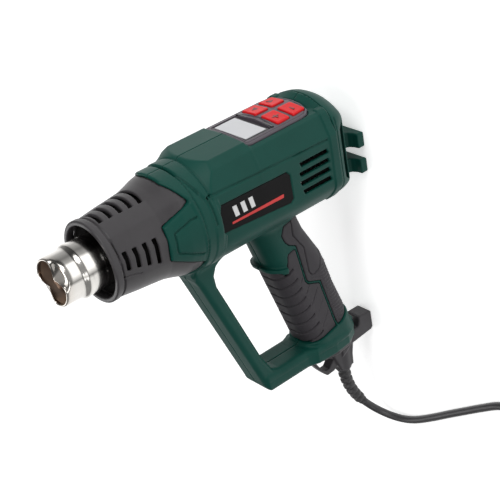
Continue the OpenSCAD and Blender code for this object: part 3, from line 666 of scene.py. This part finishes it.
def material(name, colour, rough=0.45, metal=0.0, grain=900.0, bump=0.1, spread=0.06, blotch=40.0,
             coat=0.0, rough_spread=0.06, stretch=(1, 1, 1), distance=0.0002, tint=None, spec=0.5,
             painted_reflections=(), glow=0.0):
    """A Principled material with a fine grain, slow colour changes and an uneven polish.

    tint is (from, to, colour) up the Z axis, in metres; the (angle, level) pairs round the barrel paint
    reflection onto the colour: lighter and darker bands that stand in for reflected light and shade."""
    m = bpy.data.materials.new(name)
    m.use_nodes = True
    nt = m.node_tree
    n, link = nt.nodes, nt.links
    b = n["Principled BSDF"]
    b.inputs["Metallic"].default_value = metal
    b.inputs["Coat Weight"].default_value = coat
    b.inputs["Coat Roughness"].default_value = 0.15
    b.inputs["Specular IOR Level"].default_value = spec
    b.inputs["Emission Color"].default_value = (1, 1, 1, 1)
    b.inputs["Emission Strength"].default_value = glow
    co = n.new("ShaderNodeTexCoord")
    mp = n.new("ShaderNodeMapping")
    mp.inputs["Scale"].default_value = stretch
    link.new(co.outputs["Object"], mp.inputs["Vector"])
    big = n.new("ShaderNodeTexNoise")
    big.inputs["Scale"].default_value = blotch
    big.inputs["Detail"].default_value = 4
    link.new(mp.outputs["Vector"], big.inputs["Vector"])
    ramp = n.new("ShaderNodeValToRGB")
    lo = tuple(c * (1 - spread) for c in colour[:3]) + (1,)
    hi = tuple(min(c * (1 + spread) + 0.001, 1) for c in colour[:3]) + (1,)
    ramp.color_ramp.elements[0].position, ramp.color_ramp.elements[0].color = 0.3, lo
    ramp.color_ramp.elements[1].position, ramp.color_ramp.elements[1].color = 0.7, hi
    link.new(big.outputs["Fac"], ramp.inputs["Fac"])
    out = ramp.outputs["Color"]
    if tint:
        sep = n.new("ShaderNodeSeparateXYZ")
        link.new(co.outputs["Object"], sep.inputs["Vector"])
        rng = n.new("ShaderNodeMapRange")
        rng.inputs["From Min"].default_value, rng.inputs["From Max"].default_value = tint[0], tint[1]
        link.new(sep.outputs["Z"], rng.inputs["Value"])
        mix = n.new("ShaderNodeMixRGB")
        mix.inputs["Color2"].default_value = tint[2]
        link.new(rng.outputs["Result"], mix.inputs["Fac"])
        link.new(out, mix.inputs["Color1"])
        out = mix.outputs["Color"]
    # painted reflection: the colour is multiplied by a level that changes round the barrel
    if painted_reflections:
        grad = n.new("ShaderNodeTexGradient")
        grad.gradient_type = "RADIAL"
        shift = n.new("ShaderNodeMapping")
        shift.inputs["Location"].default_value = (-AXIS_X * MM, 0, 0)
        link.new(co.outputs["Object"], shift.inputs["Vector"])
        link.new(shift.outputs["Vector"], grad.inputs["Vector"])
        reflection_bands = n.new("ShaderNodeValToRGB")
        ends = reflection_bands.color_ramp.elements
        for end, (angle, level) in ((ends[0], painted_reflections[0]), (ends[1], painted_reflections[-1])):
            end.position = angle / 360 + 0.5
            end.color = (level, level, level, 1)
        for angle, level in painted_reflections[1:-1]:
            ends.new(angle / 360 + 0.5).color = (level, level, level, 1)
        link.new(grad.outputs["Fac"], reflection_bands.inputs["Fac"])
        dark = n.new("ShaderNodeMixRGB")
        dark.blend_type = "MULTIPLY"
        dark.inputs["Fac"].default_value = 1
        link.new(out, dark.inputs["Color1"])
        link.new(reflection_bands.outputs["Color"], dark.inputs["Color2"])
        out = dark.outputs["Color"]
    link.new(out, b.inputs["Base Color"])
    mr = n.new("ShaderNodeMapRange")
    mr.inputs["To Min"].default_value = max(rough - rough_spread, 0.03)
    mr.inputs["To Max"].default_value = rough + rough_spread
    link.new(big.outputs["Fac"], mr.inputs["Value"])
    link.new(mr.outputs["Result"], b.inputs["Roughness"])
    fine = n.new("ShaderNodeTexNoise")
    fine.inputs["Scale"].default_value = grain
    fine.inputs["Detail"].default_value = 3
    link.new(mp.outputs["Vector"], fine.inputs["Vector"])
    bp = n.new("ShaderNodeBump")
    bp.inputs["Strength"].default_value = bump
    bp.inputs["Distance"].default_value = distance
    link.new(fine.outputs["Fac"], bp.inputs["Height"])
    link.new(bp.outputs["Normal"], b.inputs["Normal"])
    return m


GREEN = material("green_plastic", srgb(8, 62, 54), 0.46, grain=1500, bump=0.12, spread=0.05, spec=0.16)
DARK = material("dark_plastic", srgb(56, 54, 56), 0.4, grain=1500, bump=0.14, spread=0.06, spec=0.3)
BRACKET = material("bracket_plastic", srgb(54, 52, 55), 0.42, grain=1200, bump=0.1, spec=0.3)
BEZEL = material("bezel_plastic", srgb(76, 70, 77), 0.36, grain=1800, bump=0.06, spec=0.3)
RUBBER = material("grip_rubber", srgb(50, 47, 51), 0.6, grain=2200, bump=0.3, spread=0.08, spec=0.3)
RED = material("button_red", srgb(204, 30, 34), 0.4, grain=1400, bump=0.05, spread=0.04, spec=0.15)
ICON = material("button_icon", srgb(96, 16, 18), 0.4, grain=1400, bump=0.05)
LCD = material("display", srgb(186, 187, 190), 0.3, grain=1500, bump=0.03, spread=0.03, blotch=18)
LCD_EDGE = material("display_edge", srgb(34, 33, 36), 0.25, grain=1500, bump=0.03)
BLACK = material("black_plastic", srgb(18, 17, 18), 0.5, grain=1500, bump=0.05, spec=0.08)
PALE = material("pale_print", srgb(205, 205, 205), 0.45, grain=1500, bump=0.04)
STRIPE = material("red_print", srgb(190, 36, 34), 0.45, grain=1500, bump=0.04)
CORD = material("cord_rubber", srgb(46, 45, 47), 0.42, grain=1200, bump=0.12, spread=0.08)
# painted reflection round the nozzle: how much of the steel's colour is kept at each angle, in degrees
PAINTED_REFLECTIONS = ((-176, 0.6), (-145, 0.8), (-110, 0.85), (-86, 0.7), (-80, 0.22), (-74, 0.6), (-67, 1.0),
           (-42, 1.0), (-36, 0.3), (-22, 0.14), (-3, 0.35), (10, 0.8), (34, 0.85), (60, 0.4), (90, 0.9),
           (120, 0.5), (150, 0.9), (176, 0.6))
STEEL = material("nozzle_steel", srgb(238, 235, 230), 0.17, metal=1.0, grain=260, bump=0.05,
                 stretch=(1, 1, 0.15), spread=0.04, blotch=25, rough_spread=0.06, painted_reflections=PAINTED_REFLECTIONS,
                 tint=(0.247, 0.275, srgb(206, 188, 166)))
SCREW = material("screw_steel", srgb(170, 170, 172), 0.3, metal=1.0, grain=700, bump=0.1)
CERAMIC = material("ceramic", srgb(176, 146, 126), 0.8, grain=700, bump=0.3, spread=0.12, blotch=90)
MICA = material("mica", srgb(104, 84, 68), 0.6, grain=500, bump=0.2, spread=0.2)
WIRE = material("heater_wire", srgb(96, 80, 70), 0.45, metal=0.8, grain=900, bump=0.1)
# the heat shield's steel painted near black with little specular: painted shade for the dark inside of the
# nozzle's mouth
SHIELD_PAINTED_SHADE = material("shield_steel", srgb(20, 19, 19), 0.8, grain=400, bump=0.1, spec=0.05)
MESH = material("filter_mesh", srgb(9, 9, 9), 0.9, grain=900, bump=0.2, spec=0.05)
BOARD = material("board", srgb(24, 92, 52), 0.35, grain=500, bump=0.1, coat=0.3)
ALLOY = material("heat_sink_aluminium", srgb(180, 180, 184), 0.35, metal=1.0, grain=500, bump=0.1)
YELLOW = material("yellow_plastic", srgb(200, 172, 60), 0.4, grain=900, bump=0.06)
BLUE = material("lead_insulation", srgb(40, 60, 140), 0.4, grain=900, bump=0.06)
TERMINAL = material("terminal_plastic", srgb(215, 215, 205), 0.45, grain=900, bump=0.06)
FLOOR = material("floor", (0.9, 0.9, 0.9, 1), 0.75, grain=60, bump=0.02, spread=0.005, blotch=3,
                 glow=0.5)

BY_SLOT = {"green_plastic": GREEN, "dark_plastic": DARK, "bezel_plastic": BEZEL, "display": LCD,
           "window": LCD, "board": BOARD, "button_red": RED, "black_plastic": BLACK,
           "grip_rubber": RUBBER, "label_black": BLACK, "cord_rubber": CORD, "pin_metal": SCREW,
           "screw_steel": SCREW, "nozzle_steel": STEEL, "mica": MICA, "ceramic": CERAMIC,
           "heater_wire": WIRE, "shield_steel": SHIELD_PAINTED_SHADE, "motor_steel": ALLOY,
           "heat_sink_aluminium": ALLOY, "lead_insulation": BLUE, "yellow_plastic": YELLOW,
           "terminal_plastic": TERMINAL}
for row in frame["record"]["subparts"]:
    o = frame["nodes"][row["node"]]
    o.data.materials.clear()
    o.data.materials.append(MESH if row["node"] == "intake_filters" else BY_SLOT[row["material_slot"]])


# ---------------------------------------------------------------- the gun's pieces

# step of the nets that the surfaces are found on, in mm
FINE = 0.8


def shape(name, f, lo, hi, h, mat, body="gun", replaces=(), slot=None, polish=2):
    """A piece whose surface is where f is zero, found in a box in steps of h."""
    v, q = surface(f, lo, hi, h, polish)
    return piece(name, v, q, mat, body, replaces=replaces, slot=slot)


shape("left_shell", left_half, (-165, -41, 14), (46, 1, 186), FINE, GREEN,
      replaces=("left_housing",), slot="green_plastic")
shape("right_shell", right_half, (-165, -1, 14), (46, 41, 186), FINE, GREEN,
      replaces=("right_housing",), slot="green_plastic")
shape("shroud", shroud, (-41, -41, 154), (41, 41, 226), FINE * 0.85, DARK,
      replaces=("nose_shroud",), slot="dark_plastic")
shape("tail_cover", rear, (-41, -36, -2), (46, 36, 34), FINE * 0.9, GREEN,
      replaces=("rear_cover",), slot="green_plastic")
shape("front_grip", front_rubber, (-150, -20, 25), (-32, 20, 110), FINE * 0.8, RUBBER,
      replaces=("grip_front_rubber",), slot="grip_rubber")
shape("back_grip", back_rubber, (-150, -20, 10), (-30, 20, 105), FINE * 0.8, RUBBER,
      replaces=("grip_back_rubber",), slot="grip_rubber")
shape("bracket", bracket, (-194, -18, -2), (-150, 18, 68), FINE * 0.7, BRACKET,
      replaces=("base_bracket",), slot="dark_plastic")
shape("bezel", bezel, (31, -25, 34), (43, 25, 104), FINE * 0.6, BEZEL,
      replaces=("display_bezel",), slot="bezel_plastic")
for col, side in ((0, "heat"), (1, "air")):
    for row, way in ((0, "up"), (1, "down")):
        cad = f"button_{side}_{way}"
        shape("key_" + side + "_" + way, button(col, row),
              (36, BUTTON_Y[col] - 10, BUTTON_Z[row] - 8), (43, BUTTON_Y[col] + 10, BUTTON_Z[row] + 8),
              FINE * 0.5, RED, body=cad + "_body", replaces=(cad,), slot="button_red")


def plate(name, outline, x0, x1, mat, body="gun", replaces=(), slot=None):
    """A thin flat piece, drawn in Y and Z, between two distances from the barrel's axis."""
    n = len(outline)
    v = [(x0, p[0], p[1]) for p in outline] + [(x1, p[0], p[1]) for p in outline]
    f = [list(range(n))[::-1], list(range(n, 2 * n))]
    f += [[i, (i + 1) % n, n + (i + 1) % n, n + i] for i in range(n)]
    o = piece(name, v, f, mat, body, smooth=False, replaces=replaces, slot=slot)
    bv = o.modifiers.new("edge", "BEVEL")
    bv.width, bv.segments = 0.0002, 2
    return o


def round_rect(cx, cy, w, h, r, n=6):
    """Outline of a rectangle with round corners."""
    pts = []
    for qx, qy, a0 in ((1, 1, 0), (-1, 1, 90), (-1, -1, 180), (1, -1, 270)):
        for i in range(n + 1):
            a = math.radians(a0 + 90 * i / n)
            pts.append((cx + qx * (w / 2 - r) + r * math.cos(a), cy + qy * (h / 2 - r) + r * math.sin(a)))
    return pts


plate("display_frame", round_rect(0, 87.2, 36, 21.2, 1.0), 36.9, 37.9, LCD_EDGE, slot="display")
plate("display_glass", round_rect(0, 87.7, 33.6, 18.4, 0.8), 37.8, 38.4, LCD,
      replaces=("lcd_window", "lcd_module"), slot="window")
plate("display_band", [(-19.2, 75.3), (0, 74.0), (19.2, 75.3), (19.2, 73.8), (0, 71.1), (-19.2, 73.8)],
      38.0, 39.2, LCD_EDGE, slot="display")


def icon(name, kind, col, row):
    """A dark sign moulded into a button."""
    cy, cz = BUTTON_Y[col], BUTTON_Z[row]
    body = ("button_air_" if col else "button_heat_") + ("down" if row else "up") + "_body"
    x = crown(cy, 41.2) - 0.35
    parts = {"plus": [round_rect(cy, cz, 6, 1.5, 0.5), round_rect(cy, cz, 1.5, 6, 0.5)],
             "minus": [round_rect(cy, cz, 6, 1.5, 0.5)],
             "up": [[(cy - 3.2, cz - 2), (cy + 3.2, cz - 2), (cy, cz + 2.6)]],
             "down": [[(cy - 3.2, cz + 2), (cy, cz - 2.6), (cy + 3.2, cz + 2)]]}[kind]
    for i, p in enumerate(parts):
        plate(f"{name}_{i}", p, x - 0.6, x + 0.42 + 0.02 * i, ICON, body=body, slot="button_red")


icon("sign_heat_up", "plus", 0, 0)
icon("sign_heat_down", "minus", 0, 1)
icon("sign_air_up", "up", 1, 0)
icon("sign_air_down", "down", 1, 1)


def side_plate(side):
    """A blank side plate with plain slanted bars, seated in the shell."""
    sgn = -1 if side == "left" else 1

    def body_shape(x, y, z):
        return slab(poly(x, z, LABEL, 0.1), y - sgn * 33.35, 0.5, 0.3)

    y_low, y_high = sorted((sgn * 32.4, sgn * 34.4))
    lo, hi = (-14, y_low, 77), (13, y_high, 143.5)
    shape("plate_" + side, body_shape, lo, hi, FINE * 0.4, BLACK,
          replaces=("label_plate_" + side,), slot="label_black")
    bars = []
    for i in range(3):
        z = 128 - 7 * i
        bars.append(([(7.2, z + 2.0), (7.2, z - 1.6), (-1.0, z - 3.2), (-1.0, z + 0.4)], PALE))
    bars.append(([(-3.4, 132), (-3.4, 86), (-6.0, 86.4), (-5.0, 132)], STRIPE))
    for i, (pts, mat) in enumerate(bars):
        y0, y1 = sgn * 33.7, sgn * 33.93
        n = len(pts)
        v = [(p[0], y0, p[1]) for p in pts] + [(p[0], y1, p[1]) for p in pts]
        f = [list(range(n)), list(range(n, 2 * n))[::-1]]
        f += [[k, n + k, n + (k + 1) % n, (k + 1) % n] for k in range(n)]
        if sgn > 0:
            f = [q[::-1] for q in f]
        piece(f"print_{side}_{i}", v, f, mat, smooth=False, slot="label_black")


side_plate("left")
side_plate("right")

# ---------------------------------------------------------------- nozzle and heater


def turned(name, profile, mat, n=96, wave=None, replaces=(), slot=None, close=False):
    """A surface of revolution about the barrel; wave(a, z, r) can push points in or out."""
    a = np.arange(n) * 2 * math.pi / n
    rings = []
    for r, z in profile:
        rr = np.full(n, r, float) if wave is None else wave(a, z, r)
        rings.append(np.stack([rr * np.cos(a), rr * np.sin(a), np.full(n, z)], 1))
    v = np.vstack(rings)
    m = len(profile)
    f = []
    for i in range(m if close else m - 1):
        j = (i + 1) % m
        for k in range(n):
            f.append((i * n + k, i * n + (k + 1) % n, j * n + (k + 1) % n, j * n + k))
    return piece(name, v, np.array(f), mat, replaces=replaces, slot=slot)


def crimp(a, z, r):
    """Two deep dents that pinch the nozzle's mouth to a figure of eight."""
    out = np.full(len(a), r, float)
    if z > 250.5:
        depth = 9.8 * step01(np.array(z), 250.5, 254.4)
        for c in (132, 312):
            off = np.abs((np.degrees(a) - c + 180) % 360 - 180)
            out -= depth * (1 - step01(off, 3, 50))
    return out


# section of the nozzle tube, radius and height: outside from the back, over the rim, then inside
tube = [(17.2, 130), (18.7, 130), (18.7, 232), (18.9, 234), (19.15, 235.6), (19.15, 236.8), (18.8, 238),
        (18.0, 239.2), (17.5, 240.2), (17.3, 241.4), (17.3, 246), (17.3, 250.5), (17.3, 251.4),
        (17.3, 252.1), (17.2, 252.8), (17.1, 253.4), (16.9, 253.9), (16.5, 254.3), (16.1, 254.5),
        (15.7, 254.3), (15.5, 253.8), (15.6, 253.2), (15.7, 252.6), (15.9, 251.8), (16.2, 251),
        (16.4, 248), (16.5, 244), (16.5, 200), (17.2, 196)]
turned("nozzle", tube, STEEL, n=144, wave=crimp, replaces=("heater_tube",), slot="nozzle_steel",
       close=True)
# the heat shield and a flat ring from 18.8 to 25.3 mm that closes the gap under the shroud's mouth, both
# painted near black as the shade inside the mouth
turned("shield_and_shade_ring", [(25.3, 133), (25.3, 217), (18.8, 217), (18.8, 216.2), (24.8, 216.2), (24.8, 133)],
       SHIELD_PAINTED_SHADE, close=True, replaces=("heat_shield",), slot="shield_steel")


def former(x, y, z):
    """The ceramic heater core: petals between four air ways."""
    r = radius(x, y)
    a = np.degrees(np.arctan2(y, x))
    b = np.abs(a % 90 - 45)
    arm = np.abs(np.minimum(r, 99) * np.sin(np.radians(b))) - 1.5
    star = smax(arm, r - 15.0, 0.8)
    hub = r - 4.9
    knob = np.sqrt((r * np.cos(np.radians(b)) - 10.9) ** 2 + (r * np.sin(np.radians(b))) ** 2) - 3.7
    d = smin(smin(star, hub, 1.6), knob, 1.2)
    d = smax(d, -(r - 1.5), 0.3)
    d = smax(d, r - (15.2 - 0.7 * np.maximum(z - 241, 0)), 0.5)
    return smax(d, np.maximum(z - 248.5, 215 - z), 1.2)


shape("heater_face", former, (-17, -17, 213), (17, 17, 254), FINE * 0.6, CERAMIC, replaces=("heater_core",),
      slot="ceramic")
turned("mica_lining", [(16.15, 132), (16.15, 251.4), (15.75, 251.6), (15.6, 251.4), (15.6, 132)], MICA,
       replaces=("mica_sleeve",), slot="mica")

# ---------------------------------------------------------------- power slider


def slider_shape(x, y, z):
    """The slider's ribbed cap and the pin that reaches into the switch."""
    u, s = grip_place(x, z)
    s = s - 15
    d = slab(poly(u, s, [(18.9, 7.2), (18.2, 8.8), (17.4, 9), (17.4, -3), (18.6, -2.8), (19.4, -1.5)]),
             y, 4.55, 0.6)
    for k in range(4):
        d = carve(d, np.maximum(np.abs(s - 0.4 - 1.9 * k) - 0.45, 17.9 - u), 0.6, 0.2)
    pin = slab(poly(u, s, [(18, 5), (15.8, 5), (15.8, 0), (18, 0)]), y, 2.9, 0.4)
    return smin(d, pin, 0.3)


shape("slider_cap", slider_shape, (-74, -6, 42), (-52, 6, 66), FINE * 0.5, BLACK, body="slider",
      replaces=("power_slider",), slot="black_plastic")

# ---------------------------------------------------------------- cord, relief, coil, tie and plug


def across(path):
    """Two directions square to a path at each of its points."""
    t = np.gradient(path, axis=0)
    t /= np.linalg.norm(t, axis=1)[:, None]
    up = np.array([0, 0, 1.0])
    u = np.cross(up, t)
    u /= np.linalg.norm(u, axis=1)[:, None]
    return u, np.cross(t, u)


def swept(name, path, radius, sides, mat, replaces=(), slot=None):
    """A round rod along a path; the radius is a number, or a function of the share of the way."""
    u, w = across(path)
    a = np.arange(sides) * 2 * math.pi / sides
    r = np.array([radius(q) for q in np.linspace(0, 1, len(path))]) if callable(radius) \
        else np.full(len(path), radius)
    v = (path[:, None] + r[:, None, None] * (np.cos(a)[None, :, None] * u[:, None]
                                             + np.sin(a)[None, :, None] * w[:, None])).reshape(-1, 3)
    n, m = sides, len(path)
    i, k = np.meshgrid(np.arange(m - 1), np.arange(n), indexing="ij")
    f = np.stack([i * n + k, i * n + (k + 1) % n, (i + 1) * n + (k + 1) % n, (i + 1) * n + k],
                 -1).reshape(-1, 4)
    faces = [tuple(q) for q in f]
    faces += [tuple(range(n))[::-1], tuple(range((m - 1) * n, m * n))]
    return piece(name, v, faces, mat, about_axis=False, replaces=replaces, slot=slot)


cord = swept("cord", CORD_PATH, CORD_R, 14, CORD, replaces=("supply_cord", "cord_coil"),
             slot="cord_rubber")

# the strain relief: its length, the part hidden in the bracket, and the step of its grooves
RELIEF_LENGTH, RELIEF_HIDDEN, RELIEF_STEP = 53, 13, 5.6
RELIEF_R = 5.5


def relief_radius(q):
    """Radius of the strain relief a share q of the way along it: a taper with cut grooves."""
    along = q * RELIEF_LENGTH - RELIEF_HIDDEN
    if along < 1:
        return RELIEF_R
    in_groove = (along % RELIEF_STEP) / RELIEF_STEP > 0.5 and along < 39
    groove = 2.3 if in_groove else 0.0
    end = 0.75 if q > 0.985 else 0.0
    return RELIEF_R - 1.2 * q - groove - end


swept("relief", smooth_path(RELIEF, 0.5), relief_radius, 28, CORD, replaces=("strain_relief",),
      slot="cord_rubber")


def tie_shape(x, y, z):
    """The band round one side of the coil."""
    d = rbox(x, y, z, (COIL_AT[0], COIL_AT[1] - 33, 9.4), (4.4, 11.3, 10.6), 3.0)
    inner = rbox(x, y, z, (COIL_AT[0], COIL_AT[1] - 33, 9.3), (9, 9.6, 9.5), 2.4)
    d = smax(d, -inner, 0.4)
    return smax(d, 0.15 - z, 0.2)


v, q = surface(tie_shape, (COIL_AT[0] - 6, COIL_AT[1] - 46, -1), (COIL_AT[0] + 6, COIL_AT[1] - 20, 21), 0.6)
tie = piece("tie", v, q, BLACK, about_axis=False, replaces=("cord_tie",), slot="black_plastic")

PLUG_AT = Matrix.Translation((-20, -262, 18.1)) @ Matrix.Rotation(math.radians(25), 4, "Z")


def plug_shape(x, y, z):
    """Plug body along its own X: face at 0, cord end at 36."""
    r = np.hypot(y, z)
    flange = smax(smax(r - 18, np.maximum(x - 5.5, -x), 1.0), r - 18, 0.5)
    neck_r = np.interp(x, [0, 5, 12, 20, 28, 33], [16.5, 14.2, 12.2, 11.0, 8.4, 6.2])
    neck = smax(np.hypot(y * 0.92, z * 1.12) - neck_r, np.maximum(x - 32, -x), 1.5)
    d = smin(flange, neck, 2.5)
    sleeve = smax(r - 5.0, np.maximum(x - 38, 20 - x), 0.8)
    d = smin(d, sleeve, 1.5)
    for k in range(5):
        d = carve(d, np.maximum(np.abs(x - 11 - 2.8 * k) - 0.6, 6 - np.abs(y)), 0.8, 0.3)
    return d


v, q = surface(plug_shape, (-1, -19, -19), (39, 19, 19), 0.7)
rot = np.array(PLUG_AT.to_3x3())
v = v @ rot.T + np.array(PLUG_AT.translation)
plug = piece("plug", v, q, CORD, about_axis=False, replaces=("mains_plug",), slot="cord_rubber")
for k, y in enumerate((-9.5, 9.5)):
    prof = [(0, -19), (1.4, -18.9), (2.2, -18.2), (2.4, -17.2), (2.4, 0.5)]
    a = np.arange(24) * 2 * math.pi / 24
    ring = np.vstack([np.stack([np.full(24, px), y + pr * np.cos(a), pr * np.sin(a)], 1)
                      for pr, px in prof])
    ring = ring @ rot.T + np.array(PLUG_AT.translation)
    f = [(i * 24 + j, (i + 1) * 24 + j, (i + 1) * 24 + (j + 1) % 24, i * 24 + (j + 1) % 24)
         for i in range(4) for j in range(24)]
    piece(f"plug_pin_{k}", ring, np.array(f), SCREW, about_axis=False,
                      replaces=("plug_pins",), slot="pin_metal")

# ---------------------------------------------------------------- stage, lights, camera

bpy.ops.mesh.primitive_plane_add(size=8, location=(0.1, 0, -0.0002))
floor = bpy.context.object
floor.name = "floor"
floor.data.materials.append(FLOOR)

world = bpy.data.worlds.new("sky")
bpy.context.scene.world = world
world.use_nodes = True
world.node_tree.nodes["Background"].inputs["Color"].default_value = (1, 1, 1, 1)
world.node_tree.nodes["Background"].inputs["Strength"].default_value = 0.28


def lamp(name, way, distance, size, power, target=(0.04, 0, 0.12)):
    """A round area lamp that looks at the gun from one way."""
    d = bpy.data.lights.new(name, "AREA")
    d.shape, d.size, d.energy = "DISK", size, power
    o = bpy.data.objects.new(name, d)
    bpy.context.scene.collection.objects.link(o)
    way = Vector(way).normalized()
    o.location = Vector(target) + way * distance
    o.rotation_euler = way.to_track_quat("Z", "Y").to_euler()
    return o


lamp("key", (0.85, -0.25, 0.62), 1.5, 0.8, 11)
lamp("top", (0.1, -0.1, 1.0), 1.6, 1.0, 7)
lamp("front", (-0.15, -1.0, 0.45), 1.6, 0.8, 4)
lamp("rim", (-0.5, 0.8, 0.55), 1.5, 0.8, 4)

cam = bpy.data.objects.new("camera", bpy.data.cameras.new("camera"))
bpy.context.scene.collection.objects.link(cam)
m = Matrix.Identity(4)
for i in range(3):
    m[i][0], m[i][1], m[i][2], m[i][3] = CAMERA_RIGHT[i], CAMERA_UP[i], CAMERA_BACK[i], CAMERA_AT[i]
cam.matrix_world = m
cam.data.sensor_width = 36
cam.data.lens = LENS_MM
cam.data.clip_start, cam.data.clip_end = 0.05, 20
bpy.context.scene.camera = cam
bpy.context.scene.view_settings.view_transform = "Standard"
bpy.context.scene.view_settings.exposure = 0.0

bpy.context.view_layer.update()
